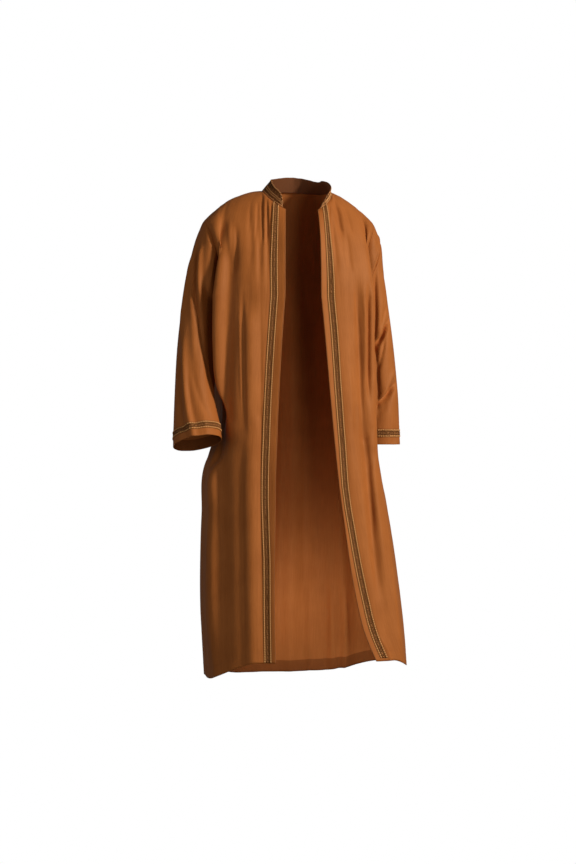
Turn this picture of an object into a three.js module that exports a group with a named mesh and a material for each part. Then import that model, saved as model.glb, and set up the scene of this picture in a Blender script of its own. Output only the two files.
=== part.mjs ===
// A long open-front robe in thin cloth, in the form it has when worn: two fronts, a back, two sleeves
// and a stand collar, with woven braid beside the front edges, round the cuffs and round the collar.
//
// Millimetres, +Z up. The origin is the middle of the neck opening at the height of the neck seam.
// The wearer faces -Y, so the wearer's right side is at -X. Heights are given as drops below the origin,
// and sideways places as distances outwards from the middle.
import * as THREE from "three";

const { clamp, degToRad, lerp: mix, smoothstep } = THREE.MathUtils;

// ---- driving dimensions ----

const CLOTH = 1.5; // wall of every cloth piece
const SEAM_GAP = 0.3; // between pieces that are sewn together
const BRAID_LIFT = 0.3; // gap under a braid
const BRAID_WALL = 1.0;
const FRONT_MARGINS = { // level down a front (0 neck, 1 underarm, 2 hem), and bare cloth between edge and braid
  right: [[0, 23], [0.7, 21], [1, 19], [1.4, 19], [1.56, 18], [1.64, 15], [1.72, 11], [1.8, 10], [2, 11]],
  left: [[0, 19], [1.1, 18], [1.24, 15], [1.41, 12], [1.52, 7], [1.59, 7], [1.69, 11], [1.78, 15], [1.85, 17], [2, 18]],
};
const BRAID_WIDTH = 22;
const BRAID_HEM_MARGINS = { right: 2, left: 10 }; // a front braid is cut off this far above the hem
const BRAID_NECK_MARGIN = 5;
const UNDERARM_DROP = 290;
const ARMHOLE_BULGE = 66; // how far the armhole reaches in front of and behind the arm
const BULGE_FROM = 0.7; // the bulge grows over this last part of a row
const SHOULDER_ROUND = 1.18; // 2 is a straight slope from seam to chest, 1 a quarter of an ellipse

const NECK = { halfWidth: 98, frontDepth: 84, backDepth: 66, frontDrop: 50, sideRise: 8, backRise: 15, steepness: 1.5 };
const NECK_FRONT_ANGLE = degToRad(27); // where a front edge meets the neck seam, from straight ahead
const NECK_SHARE = 0.3; // share of a panel's top line that is neck seam; the rest is shoulder seam

const COLLAR = { height: 44, endRadius: 22, lowestEnd: 0.3 };
const COLLAR_LEVELS = [1, 0.93, 0.5, 0.09, 0]; // shares of its height; its braid runs from the second to the fourth

// Each side of the body: +1 is the wearer's left.
const SIDES = {
  right: { sign: -1, tipX: 264, tipDrop: 80, shoulderArch: 22, hemEdge: 1288, hemSide: 1345, hemFrom: 0.25 },
  left: { sign: 1, tipX: 217, tipDrop: 78, shoulderArch: 10, hemEdge: 1289, hemSide: 1318, hemFrom: 0.45 },
};
const HEM_BACK = 1360;
const BACK_HEM_FROM = 0.3;

// Level sections of the worn body of the robe. edge: the front edge. ridge: the soft corner that hangs
// in front of the arm. tuckX: where the cloth is pressed in beside the arm. sideX: the side seam.
// backRidge: the soft corner behind the arm.
const SECTIONS = {
  right: [
    { drop: 290, edgeX: 57, edgeY: -136, ridgeX: 248, ridgeY: -88, tuckX: 209, sideX: 203, backRidgeX: 214, backRidgeY: 92 },
    { drop: 420, edgeX: 67, edgeY: -142, ridgeX: 250, ridgeY: -88, tuckX: 218, sideX: 206, backRidgeX: 217, backRidgeY: 96 },
    { drop: 560, edgeX: 76, edgeY: -148, ridgeX: 242, ridgeY: -92, tuckX: 219, sideX: 209, backRidgeX: 221, backRidgeY: 100 },
    { drop: 640, edgeX: 80, edgeY: -149, ridgeX: 219, ridgeY: -97, tuckX: 216, sideX: 222, backRidgeX: 223, backRidgeY: 104 },
    { drop: 695, edgeX: 82, edgeY: -150, ridgeX: 212, ridgeY: -100, tuckX: 224, sideX: 240, backRidgeX: 225, backRidgeY: 107 },
    { drop: 750, edgeX: 84, edgeY: -152, ridgeX: 245, ridgeY: -84, tuckX: 250, sideX: 255, backRidgeX: 228, backRidgeY: 111 },
    { drop: 900, edgeX: 87, edgeY: -158, ridgeX: 255, ridgeY: -78, tuckX: 259, sideX: 262, backRidgeX: 234, backRidgeY: 121 },
    { drop: 1100, edgeX: 91, edgeY: -171, ridgeX: 258, ridgeY: -82, tuckX: 263, sideX: 267, backRidgeX: 240, backRidgeY: 134 },
    { drop: 1370, edgeX: 89, edgeY: -190, ridgeX: 245, ridgeY: -94, tuckX: 250, sideX: 253, backRidgeX: 234, backRidgeY: 152 },
  ],
  left: [
    { drop: 290, edgeX: 42, edgeY: -132, ridgeX: 194, ridgeY: -88, tuckX: 156, sideX: 146, backRidgeX: 176, backRidgeY: 92 },
    { drop: 420, edgeX: 53, edgeY: -138, ridgeX: 196, ridgeY: -88, tuckX: 161, sideX: 150, backRidgeX: 184, backRidgeY: 96 },
    { drop: 560, edgeX: 64, edgeY: -144, ridgeX: 200, ridgeY: -88, tuckX: 167, sideX: 160, backRidgeX: 194, backRidgeY: 100 },
    { drop: 700, edgeX: 76, edgeY: -150, ridgeX: 204, ridgeY: -92, tuckX: 173, sideX: 167, backRidgeX: 200, backRidgeY: 106 },
    { drop: 750, edgeX: 81, edgeY: -152, ridgeX: 214, ridgeY: -95, tuckX: 212, sideX: 213, backRidgeX: 209, backRidgeY: 111 },
    { drop: 825, edgeX: 89, edgeY: -155, ridgeX: 226, ridgeY: -99, tuckX: 237, sideX: 245, backRidgeX: 219, backRidgeY: 116 },
    { drop: 900, edgeX: 99, edgeY: -158, ridgeX: 238, ridgeY: -103, tuckX: 251, sideX: 262, backRidgeX: 228, backRidgeY: 121 },
    { drop: 1100, edgeX: 128, edgeY: -167, ridgeX: 265, ridgeY: -112, tuckX: 281, sideX: 294, backRidgeX: 252, backRidgeY: 134 },
    { drop: 1200, edgeX: 150, edgeY: -172, ridgeX: 277, ridgeY: -115, tuckX: 293, sideX: 306, backRidgeX: 260, backRidgeY: 141 },
    { drop: 1370, edgeX: 223, edgeY: -180, ridgeX: 290, ridgeY: -118, tuckX: 305, sideX: 318, backRidgeX: 270, backRidgeY: 152 },
  ],
};
const BACK_DEPTHS = [
  { drop: 290, backY: 126 },
  { drop: 560, backY: 130 },
  { drop: 850, backY: 146 },
  { drop: 1370, backY: 194 },
];
const FRONT_KNOTS = [0, 0.42, 0.78, 0.9, 1]; // edge, chest, ridge, tuck, side seam
const BACK_KNOTS = [0, 0.5, 0.78, 0.9, 1]; // middle, blade, ridge, tuck, side seam
const CHEST_CROWN = 20; // the chest stands this far proud of the chord from edge to ridge
const BLADE_CROWN = 12;
const BLADE_SHARE = 0.6; // of the way from the middle of the back to its ridge
const TUCK_SHARE = 0.52; // a tuck lies at this share of its ridge's depth

// Soft folds down the fronts and the back. A positive depth is a ridge, a negative one a trough.
const FOLDS = {
  right: [
    { name: "neck_gather_1", topX: 99, topDrop: 20, bottomX: 104, bottomDrop: 290, halfWidth: 8, depth: -4 },
    { name: "neck_gather_2", topX: 120, topDrop: 30, bottomX: 128, bottomDrop: 310, halfWidth: 8, depth: -4 },
    { name: "neck_gather_3", topX: 141, topDrop: 40, bottomX: 150, bottomDrop: 260, halfWidth: 9, depth: -3 },
    { name: "braid_ridge", topX: 156, topDrop: 300, bottomX: 150, bottomDrop: 1400, halfWidth: 20, depth: 9 },
    { name: "braid_valley", topX: 178, topDrop: 260, bottomX: 172, bottomDrop: 700, halfWidth: 8, depth: -3 },
    { name: "chest_trough", topX: 201, topDrop: 110, bottomX: 234, bottomDrop: 700, halfWidth: 23, depth: -18 },
    { name: "skirt_trough", topX: 232, topDrop: 640, bottomX: 224, bottomDrop: 1400, halfWidth: 25, depth: -9 },
  ],
  left: [
    { name: "neck_gather_1", topX: 84, topDrop: 20, bottomX: 88, bottomDrop: 260, halfWidth: 8, depth: -4 },
    { name: "neck_gather_2", topX: 104, topDrop: 30, bottomX: 110, bottomDrop: 240, halfWidth: 8, depth: -3 },
    { name: "chest_trough", topX: 146, topDrop: 220, bottomX: 168, bottomDrop: 700, halfWidth: 11, depth: -9 },
    { name: "arm_trough", topX: 184, topDrop: 230, bottomX: 182, bottomDrop: 620, halfWidth: 8, depth: -8 },
    { name: "skirt_trough", topX: 160, topDrop: 600, bottomX: 204, bottomDrop: 1150, halfWidth: 15, depth: -10 },
  ],
  back: [
    { name: "blade_trough_right", topX: -118, topDrop: 200, bottomX: -150, bottomDrop: 1420, halfWidth: 24, depth: -12 },
    { name: "middle_ridge", topX: -52, topDrop: 260, bottomX: -70, bottomDrop: 1420, halfWidth: 26, depth: 8 },
    { name: "middle_trough", topX: 8, topDrop: 170, bottomX: 14, bottomDrop: 1420, halfWidth: 22, depth: -10 },
    { name: "left_ridge", topX: 66, topDrop: 280, bottomX: 98, bottomDrop: 1420, halfWidth: 26, depth: 8 },
    { name: "blade_trough_left", topX: 112, topDrop: 200, bottomX: 178, bottomDrop: 1420, halfWidth: 24, depth: -12 },
  ],
};
const FOLD_FADE = { top: 90, bottom: 130 }; // a fold grows and dies away over these heights
const SEAM_FADE = 26; // folds die away this near a side or armhole seam
const FACE_FADE = { none: 40, full: 66 }; // and where a front turns to the side, by how far it is ahead of the middle

// Sleeves, as sections that fan out from the armhole and then run down the arm. outer and inner are the
// points furthest from and nearest to the body; tilt is how far the front of a section is lifted, and skew
// how far the points round it keep the armhole's own spacing.
const SLEEVES = {
  right: [
    { name: "head", steps: 2, outerX: 286, outerDrop: 136, innerX: 219, innerDrop: 291, middleY: 0, halfDepth: 71, tilt: 0, skew: 1 },
    { name: "drop", steps: 2, outerX: 306, outerDrop: 218, innerX: 223, innerDrop: 301, middleY: 0, halfDepth: 72, tilt: 0, skew: 0.7 },
    { name: "upper_arm", steps: 2, outerX: 321, outerDrop: 300, innerX: 229, innerDrop: 327, middleY: -2, halfDepth: 70, tilt: 0, skew: 0.3 },
    { name: "elbow", steps: 3, outerX: 337, outerDrop: 430, innerX: 236, innerDrop: 430, middleY: -12, halfDepth: 66, tilt: 3, skew: 0 },
    { name: "forearm", steps: 3, outerX: 348, outerDrop: 560, innerX: 240, innerDrop: 553, middleY: -45, halfDepth: 64, tilt: 10, skew: 0 },
    { name: "braid_top", steps: 2, outerX: 356, outerDrop: 662.4, innerX: 228, innerDrop: 646.4, middleY: -83.2, halfDepth: 62, tilt: 19, skew: 0 },
    { name: "braid_bottom", steps: 1, outerX: 357.5, outerDrop: 682.6, innerX: 227, innerDrop: 666.6, middleY: -91.8, halfDepth: 62, tilt: 20, skew: 0 },
    { name: "cuff", steps: 1, outerX: 358.5, outerDrop: 702, innerX: 226, innerDrop: 686, middleY: -100, halfDepth: 62, tilt: 21, skew: 0 },
  ],
  left: [
    { name: "head", steps: 2, outerX: 239, outerDrop: 134, innerX: 160, innerDrop: 291, middleY: 1, halfDepth: 71, tilt: 0, skew: 1 },
    { name: "drop", steps: 2, outerX: 246, outerDrop: 205, innerX: 165, innerDrop: 301, middleY: 3, halfDepth: 72, tilt: 0, skew: 0.7 },
    { name: "upper_arm", steps: 2, outerX: 260, outerDrop: 307, innerX: 168, innerDrop: 328, middleY: 4, halfDepth: 71, tilt: 0, skew: 0.3 },
    { name: "elbow", steps: 3, outerX: 276, outerDrop: 425, innerX: 170, innerDrop: 425, middleY: 4, halfDepth: 70, tilt: 0, skew: 0 },
    { name: "forearm", steps: 3, outerX: 289, outerDrop: 560, innerX: 178, innerDrop: 560, middleY: 4, halfDepth: 70, tilt: 0, skew: 0 },
    { name: "braid_top", steps: 2, outerX: 293, outerDrop: 656, innerX: 182, innerDrop: 656, middleY: 4, halfDepth: 70, tilt: 0, skew: 0 },
    { name: "braid_bottom", steps: 1, outerX: 294, outerDrop: 678, innerX: 183, innerDrop: 678, middleY: 4, halfDepth: 70, tilt: 0, skew: 0 },
    { name: "cuff", steps: 1, outerX: 295, outerDrop: 699, innerX: 183, innerDrop: 699, middleY: 4, halfDepth: 70, tilt: 0, skew: 0 },
  ],
};
const SLEEVE_FOLD_FADE = 0.3; // a sleeve fold grows and dies away over these shares of its length
const BRAID_TOP_STATION = 6;
const BRAID_BOTTOM_STATION = 7;

// Folds along the sleeves: stations count the sections above from the armhole, and angles go round a
// section from its outer point (0) through the front (90) to its inner point (180).
const SLEEVE_FOLDS = {
  right: [
    { name: "inner_trough", start: 1.4, startAngle: 106, end: 5.3, endAngle: 146, halfWidth: 20, depth: -11 },
    { name: "outer_ridge", start: 2, startAngle: 38, end: 9.2, endAngle: 62, halfWidth: 17, depth: 8 },
    { name: "elbow_crease_back", start: 3, startAngle: 318, end: 5, endAngle: 262, halfWidth: 16, depth: -7 },
  ],
  left: [
    { name: "upper_crease", start: 2.8, startAngle: 36, end: 4.3, endAngle: 104, halfWidth: 15, depth: -8 },
    { name: "lower_crease", start: 4.5, startAngle: 40, end: 5.6, endAngle: 110, halfWidth: 15, depth: -7 },
    { name: "elbow_crease_back", start: 3, startAngle: 320, end: 5, endAngle: 258, halfWidth: 16, depth: -7 },
  ],
};

// Mesh steps.
const UPPER_ROWS = 10; // neck or shoulder to underarm
const LOWER_LEVELS = [345, 410, 480, 550, 615, 670, 712, 752, 815, 900, 990, 1085, 1185, 1270, 1345]; // drops at the right side
const LOWER_ROWS = LOWER_LEVELS.length; // underarm to hem
const NECK_COLUMNS = 6; // between the braid and the neck point of the shoulder
const SHOULDER_COLUMNS = 13; // on the fronts and on each half of the back
const BACK_NECK_COLUMNS = 4; // on each half
const CURVE_SAMPLES = 120; // for measuring along a row

// ---- curves ----

// A smooth curve through values at uneven, rising knots.
function through(knots, values, at) {
  const last = knots.length - 1;
  const t = clamp(at, knots[0], knots[last]);
  let i = 0;
  while (i < last - 1 && t > knots[i + 1]) i += 1;
  const slope = (k) => (values[k + 1] - values[k]) / (knots[k + 1] - knots[k]);
  const tangent = (k) => {
    if (k === 0) return slope(0);
    if (k === last) return slope(last - 1);
    const before = knots[k] - knots[k - 1];
    const after = knots[k + 1] - knots[k];
    return (slope(k - 1) * after + slope(k) * before) / (before + after);
  };
  const span = knots[i + 1] - knots[i];
  const s = (t - knots[i]) / span;
  const start = values[i] * (2 * s ** 3 - 3 * s ** 2 + 1) + tangent(i) * span * (s ** 3 - 2 * s ** 2 + s);
  const end = values[i + 1] * (3 * s ** 2 - 2 * s ** 3) + tangent(i + 1) * span * (s ** 3 - s ** 2);
  return start + end;
}

// A named column of a table, read at any place between its rows.
const column = (rows, name, at, key = "drop") =>
  through(
    rows.map((row) => row[key]),
    rows.map((row) => row[name]),
    at,
  );

const bell = (distance) => Math.exp(-distance * distance);

// ---- the body of the robe ----

// Neck seam, by the angle round the neck from straight ahead (0) to straight behind (PI).
function neckSeam(side, angle) {
  const ahead = Math.cos(angle);
  const rise =
    ahead > 0
      ? mix(NECK.sideRise, -NECK.frontDrop, (ahead / Math.cos(NECK_FRONT_ANGLE)) ** NECK.steepness)
      : mix(NECK.sideRise, NECK.backRise, ahead * ahead);
  const depth = ahead > 0 ? NECK.frontDepth : NECK.backDepth;
  return new THREE.Vector3(side.sign * NECK.halfWidth * Math.sin(angle), -depth * ahead, rise);
}

// Neck seam and then shoulder seam, from a front edge or the middle of the back out to the shoulder's tip.
function topLine(side, isBack, u) {
  if (u <= NECK_SHARE) {
    const start = isBack ? Math.PI : NECK_FRONT_ANGLE;
    return neckSeam(side, mix(start, Math.PI / 2, u / NECK_SHARE));
  }
  const t = (u - NECK_SHARE) / (1 - NECK_SHARE);
  const x = mix(NECK.halfWidth, side.tipX, t);
  const z = mix(NECK.sideRise, -side.tipDrop, t) + side.shoulderArch * 4 * t * (1 - t);
  return new THREE.Vector3(side.sign * x, 0, z);
}

// The control points of half a level section, as [distance outwards, depth].
function frontControls(rows, drop) {
  const at = (name) => column(rows, name, drop);
  const edge = [at("edgeX"), at("edgeY")];
  const ridge = [at("ridgeX"), at("ridgeY")];
  const chest = [(edge[0] + ridge[0]) / 2, (edge[1] + ridge[1]) / 2 - CHEST_CROWN];
  return [edge, chest, ridge, [at("tuckX"), ridge[1] * TUCK_SHARE], [at("sideX"), 0]];
}
function backControls(rows, drop) {
  const at = (name) => column(rows, name, drop);
  const middle = [0, column(BACK_DEPTHS, "backY", drop)];
  const ridge = [at("backRidgeX"), at("backRidgeY")];
  const blade = [ridge[0] * BLADE_SHARE, mix(middle[1], ridge[1], BLADE_SHARE) + BLADE_CROWN];
  return [middle, blade, ridge, [at("tuckX"), ridge[1] * TUCK_SHARE], [at("sideX"), 0]];
}

function levelPoint(sideName, isBack, u, drop) {
  const rows = SECTIONS[sideName];
  let knots = FRONT_KNOTS;
  let controls = isBack ? backControls(rows, drop) : frontControls(rows, drop);
  if (isBack) {
    // The mirrored half makes the curve cross the middle of the back without a corner.
    const mirrored = controls.slice(1).reverse();
    knots = [...BACK_KNOTS.slice(1).reverse().map((knot) => -knot), ...BACK_KNOTS];
    controls = [...mirrored.map(([x, y]) => [-x, y]), ...controls];
  }
  const x = through(knots, controls.map((point) => point[0]), u);
  const y = through(knots, controls.map((point) => point[1]), u);
  return new THREE.Vector3(SIDES[sideName].sign * x, y, -drop);
}

function hemDrop(side, isBack, u) {
  const fromSide = smoothstep(u, side.hemFrom, 1);
  return isBack ? mix(HEM_BACK, side.hemSide, smoothstep(u, BACK_HEM_FROM, 1)) : mix(side.hemEdge, side.hemSide, fromSide);
}

// How far down the armhole a share of its length lies.
const armholeDown = (share) => 1 - Math.max(0, Math.cos((share * Math.PI) / 2)) ** SHOULDER_ROUND;

// Any point of a front or half a back, before its folds. u runs from the front edge, or the middle of
// the back, to the armhole or side seam; row counts down from the neck and shoulder.
function bodyPoint(sideName, isBack, u, row) {
  const side = SIDES[sideName];
  if (row > UPPER_ROWS) {
    const level = LOWER_LEVELS[row - UPPER_ROWS - 1];
    const down = (level - UNDERARM_DROP) / (LOWER_LEVELS.at(-1) - UNDERARM_DROP);
    return levelPoint(sideName, isBack, u, mix(UNDERARM_DROP, hemDrop(side, isBack, u), down));
  }
  const top = topLine(side, isBack, u);
  const chest = levelPoint(sideName, isBack, u, UNDERARM_DROP);
  const share = row / UPPER_ROWS;
  const turn = (share * Math.PI) / 2;
  const out = Math.sin(turn) ** SHOULDER_ROUND;
  const down = armholeDown(share);
  const bulge = (isBack ? 1 : -1) * ARMHOLE_BULGE * smoothstep(u, BULGE_FROM, 1) * Math.sin(Math.PI * share);
  return new THREE.Vector3(
    mix(top.x, chest.x, mix(out, down, u)),
    mix(top.y, chest.y, out) + bulge,
    mix(top.z, chest.z, down),
  );
}

// A row's curve, measured, so that points can be taken at lengths along it.
function measuredRow(sideName, isBack, row) {
  const shares = Array.from({ length: CURVE_SAMPLES + 1 }, (_, i) => i / CURVE_SAMPLES);
  const points = shares.map((u) => bodyPoint(sideName, isBack, u, row));
  const lengths = [0];
  for (let i = 1; i < points.length; i += 1) {
    lengths.push(lengths[i - 1] + points[i].distanceTo(points[i - 1]));
  }
  const total = lengths.at(-1);
  const pointAt = (length) => {
    let i = 1;
    while (i < CURVE_SAMPLES && lengths[i] < length) i += 1;
    const within = clamp((length - lengths[i - 1]) / (lengths[i] - lengths[i - 1]), 0, 1);
    return bodyPoint(sideName, isBack, mix(shares[i - 1], shares[i], within), row);
  };
  const neckLength = lengths[Math.round(NECK_SHARE * CURVE_SAMPLES)];
  return { total, pointAt, neckLength };
}

const evenSteps = (from, to, count) => Array.from({ length: count }, (_, i) => mix(from, to, (i + 1) / count));

// Column places on a front: set lengths up to the braid's far edge, then shares of what is left.
function braidColumns(sideName, row) {
  const level = row <= UPPER_ROWS ? row / UPPER_ROWS : 1 + (row - UPPER_ROWS) / LOWER_ROWS;
  const table = FRONT_MARGINS[sideName];
  const next = Math.max(1, table.findIndex(([at]) => at >= level));
  const [[fromLevel, from], [toLevel, to]] = [table[next - 1], table[next]];
  const margin = mix(from, to, (level - fromLevel) / (toLevel - fromLevel));
  return [0, margin / 2, margin, ...evenSteps(margin, margin + BRAID_WIDTH, 3)];
}
const BRAID_FIRST_COLUMN = 2;
const BRAID_LAST_COLUMN = 5;

function frontPoints(sideName) {
  const fixed = braidColumns(sideName, 0).at(-1);
  const top = measuredRow(sideName, false, 0);
  const neck = (top.neckLength - fixed) / (top.total - fixed);
  const shares = [...evenSteps(0, neck, NECK_COLUMNS), ...evenSteps(neck, 1, SHOULDER_COLUMNS)];
  return rowsOf((row) => {
    const curve = measuredRow(sideName, false, row);
    const near = braidColumns(sideName, row);
    return [...near, ...shares.map((share) => mix(near.at(-1), curve.total, share))].map(curve.pointAt);
  });
}

function halfBackPoints(sideName) {
  const top = measuredRow(sideName, true, 0);
  const neck = top.neckLength / top.total;
  const shares = [0, ...evenSteps(0, neck, BACK_NECK_COLUMNS), ...evenSteps(neck, 1, SHOULDER_COLUMNS)];
  return rowsOf((row) => {
    const curve = measuredRow(sideName, true, row);
    return shares.map((share) => curve.pointAt(share * curve.total));
  });
}

function rowsOf(makeRow) {
  return Array.from({ length: UPPER_ROWS + LOWER_ROWS + 1 }, (_, row) => makeRow(row));
}

// ---- grids: rows of points with their outward normals ----

function makeGrid(points, { facing, ring = false }) {
  const grid = { points, facing, ring };
  grid.normals = gridNormals(grid);
  return grid;
}

function gridNormals({ points, facing, ring }) {
  const columns = points[0].length;
  return points.map((row, r) =>
    row.map((_, c) => {
      const up = points[Math.max(r - 1, 0)][c];
      const down = points[Math.min(r + 1, points.length - 1)][c];
      const before = ring ? row[(c + columns - 1) % columns] : row[Math.max(c - 1, 0)];
      const after = ring ? row[(c + 1) % columns] : row[Math.min(c + 1, columns - 1)];
      const along = down.clone().sub(up);
      const across = after.clone().sub(before);
      return across.cross(along).multiplyScalar(facing).normalize();
    }),
  );
}

// Presses folds into a grid, along its normals.
function foldGrid(grid, depthAt) {
  const moved = grid.points.map((row, r) =>
    row.map((point, c) => point.clone().addScaledVector(grid.normals[r][c], depthAt(point, r, c))),
  );
  return makeGrid(moved, grid);
}

function foldDepth(folds, place, drop) {
  return folds.reduce((sum, fold) => {
    const share = clamp((drop - fold.topDrop) / (fold.bottomDrop - fold.topDrop), 0, 1);
    const centre = mix(fold.topX, fold.bottomX, share);
    const grow = smoothstep(drop, fold.topDrop, fold.topDrop + FOLD_FADE.top);
    const die = 1 - smoothstep(drop, fold.bottomDrop - FOLD_FADE.bottom, fold.bottomDrop);
    return sum + fold.depth * grow * die * bell((place - centre) / fold.halfWidth);
  }, 0);
}

function nearSeam(points, r, c, seamColumns) {
  const nearest = Math.min(...seamColumns.map((seam) => points[r][c].distanceTo(points[r][seam])));
  return smoothstep(nearest, 0, SEAM_FADE);
}

function foldedFront(sideName) {
  const { sign } = SIDES[sideName];
  const grid = makeGrid(frontPoints(sideName), { facing: -sign });
  const seam = [grid.points[0].length - 1];
  return foldGrid(grid, (point, r, c) => {
    const depth = foldDepth(FOLDS[sideName], sign * point.x, -point.z);
    const onFace = smoothstep(-point.y, FACE_FADE.none, FACE_FADE.full);
    return depth * onFace * nearSeam(grid.points, r, c, seam);
  });
}

function foldedBack() {
  const right = halfBackPoints("right");
  const left = halfBackPoints("left");
  const points = right.map((row, r) => [...row.slice(1).reverse(), ...left[r]]);
  const grid = makeGrid(points, { facing: 1 });
  const seams = [0, points[0].length - 1];
  return foldGrid(grid, (point, r, c) => {
    return foldDepth(FOLDS.back, point.x, -point.z) * nearSeam(points, r, c, seams);
  });
}

// ---- sleeves ----

function sleeveSection(side, station, share, isBack) {
  const angle = mix(Math.PI * share, Math.acos(1 - 2 * armholeDown(share)), station.skew);
  const round = Math.cos(angle);
  const depth = (isBack ? 1 : -1) * Math.sin(angle);
  return new THREE.Vector3(
    side.sign * ((station.outerX + station.innerX) / 2 + (round * (station.outerX - station.innerX)) / 2),
    station.middleY + depth * station.halfDepth,
    -(station.outerDrop + station.innerDrop) / 2 -
      (round * (station.outerDrop - station.innerDrop)) / 2 -
      depth * station.tilt,
  );
}

// A sleeve's rings start on the armhole's own points: down its front, then up its back.
function sleeveGrid(sideName) {
  const side = SIDES[sideName];
  const stations = SLEEVES[sideName];
  const frontRows = Array.from({ length: UPPER_ROWS + 1 }, (_, row) => ({ row, isBack: false }));
  const backRows = Array.from({ length: UPPER_ROWS - 1 }, (_, i) => ({ row: UPPER_ROWS - 1 - i, isBack: true }));
  const spots = [...frontRows, ...backRows];
  const lines = spots.map(({ row, isBack }) => [
    bodyPoint(sideName, isBack, 1, row),
    ...stations.map((station) => sleeveSection(side, station, row / UPPER_ROWS, isBack)),
  ]);
  const knots = stations.map((_, i) => i + 1);
  const places = [0, ...stations.flatMap(({ steps }, i) => evenSteps(i, i + 1, steps))];
  const pick = (line, axis, place) =>
    through(
      [0, ...knots],
      line.map((point) => point[axis]),
      place,
    );
  const points = places.map((place) =>
    lines.map((line) => new THREE.Vector3(pick(line, "x", place), pick(line, "y", place), pick(line, "z", place))),
  );
  const grid = makeGrid(points, { facing: side.sign, ring: true });
  const folded = foldGrid(grid, (_, r, c) => {
    const { row, isBack } = spots[c];
    const angle = isBack ? 360 - (180 * row) / UPPER_ROWS : (180 * row) / UPPER_ROWS;
    return sleeveFoldDepth(SLEEVE_FOLDS[sideName], places[r], angle);
  });
  return { ...folded, places };
}

function sleeveFoldDepth(folds, place, angle) {
  return folds.reduce((sum, fold) => {
    const share = (place - fold.start) / (fold.end - fold.start);
    const centre = mix(fold.startAngle, fold.endAngle, clamp(share, 0, 1));
    const strength = smoothstep(share, 0, SLEEVE_FOLD_FADE) * (1 - smoothstep(share, 1 - SLEEVE_FOLD_FADE, 1));
    return sum + fold.depth * strength * bell((angle - centre) / fold.halfWidth);
  }, 0);
}

// ---- collar ----

// How far the collar leans in over the neck, in degrees, by the length along it from a front end.
const COLLAR_LEANS = {
  right: [
    { along: 0, lean: 16 },
    { along: 45, lean: 26 },
    { along: 90, lean: 38 },
  ],
  left: [
    { along: 0, lean: -38 },
    { along: 30, lean: -22 },
    { along: 60, lean: 6 },
    { along: 90, lean: 34 },
  ],
};
const BACK_LEAN = 20;
const COLLAR_FIRST_COLUMN = 1; // the collar ends this column of the front short of the front edge

// The collar stands on the neck seam's own points, from the right front round the back to the left front.
function collarGrid(frontRight, frontLeft, back) {
  const neckPoint = BRAID_LAST_COLUMN + NECK_COLUMNS;
  const middle = (back.points[0].length - 1) / 2;
  const rightPart = frontRight.points[0].slice(COLLAR_FIRST_COLUMN, neckPoint + 1);
  const backPart = back.points[0].slice(middle - BACK_NECK_COLUMNS + 1, middle + BACK_NECK_COLUMNS);
  const leftPart = frontLeft.points[0].slice(COLLAR_FIRST_COLUMN, neckPoint + 1).reverse();
  const base = [...rightPart, ...backPart, ...leftPart];
  const lengths = [0];
  base.slice(1).forEach((point, i) => lengths.push(lengths[i] + point.distanceTo(base[i])));
  const total = lengths.at(-1);
  const columns = base.map((point, i) => {
    const fromEnd = Math.min(lengths[i], total - lengths[i]);
    const round = clamp(1 - fromEnd / COLLAR.endRadius, 0, 1);
    const height = COLLAR.height * Math.max(COLLAR.lowestEnd, Math.sqrt(1 - round * round));
    return { point, height, lean: degToRad(collarLean(lengths[i], total)), inward: inwardAt(base, i) };
  });
  const points = COLLAR_LEVELS.map((level) =>
    columns.map(({ point, height, lean, inward }) => {
      const up = height * level;
      return point
        .clone()
        .addScaledVector(inward, up * Math.sin(lean))
        .add(new THREE.Vector3(0, 0, up * Math.cos(lean)));
    }),
  );
  return makeGrid(points, { facing: 1 });
}

function collarLean(length, total) {
  const leans = length < total / 2 ? COLLAR_LEANS.right : COLLAR_LEANS.left;
  const fromEnd = Math.min(length, total - length);
  const rows = [...leans, { along: total / 2, lean: BACK_LEAN }];
  return column(rows, "lean", fromEnd, "along");
}

function inwardAt(base, i) {
  const before = base[Math.max(i - 1, 0)];
  const after = base[Math.min(i + 1, base.length - 1)];
  const along = after.clone().sub(before).setZ(0).normalize();
  return new THREE.Vector3(along.y, -along.x, 0);
}

// ---- solids ----

// Pieces that meet at a seam share the seam's normals, so that their walls meet on a mitre.
function shareSeamNormals(grids) {
  const key = (point) => point.toArray().map((value) => Math.round(value * 100)).join(" ");
  const meeting = new Map();
  grids.forEach((grid) =>
    grid.points.forEach((row, r) =>
      row.forEach((point, c) => {
        const name = key(point);
        meeting.set(name, [...(meeting.get(name) ?? []), grid.normals[r][c]]);
      }),
    ),
  );
  for (const normals of meeting.values()) {
    const shared = normals.reduce((sum, normal) => sum.add(normal), new THREE.Vector3()).normalize();
    normals.forEach((normal) => normal.copy(shared));
  }
}

// Draws a grid's edges back by half the seam gap.
function partSeams(grid) {
  const { points, ring } = grid;
  const lastRow = points.length - 1;
  const lastColumn = points[0].length - 1;
  const pull = (point, towards) => {
    const way = towards.clone().sub(point).normalize();
    return point.clone().addScaledVector(way, SEAM_GAP / 2);
  };
  const moved = points.map((row, r) =>
    row.map((point, c) => {
      let place = point;
      if (r === 0) place = pull(place, points[1][c]);
      if (r === lastRow) place = pull(place, points[lastRow - 1][c]);
      if (!ring && c === 0) place = pull(place, row[1]);
      if (!ring && c === lastColumn) place = pull(place, row[lastColumn - 1]);
      return place;
    }),
  );
  return { ...grid, points: moved };
}

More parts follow.
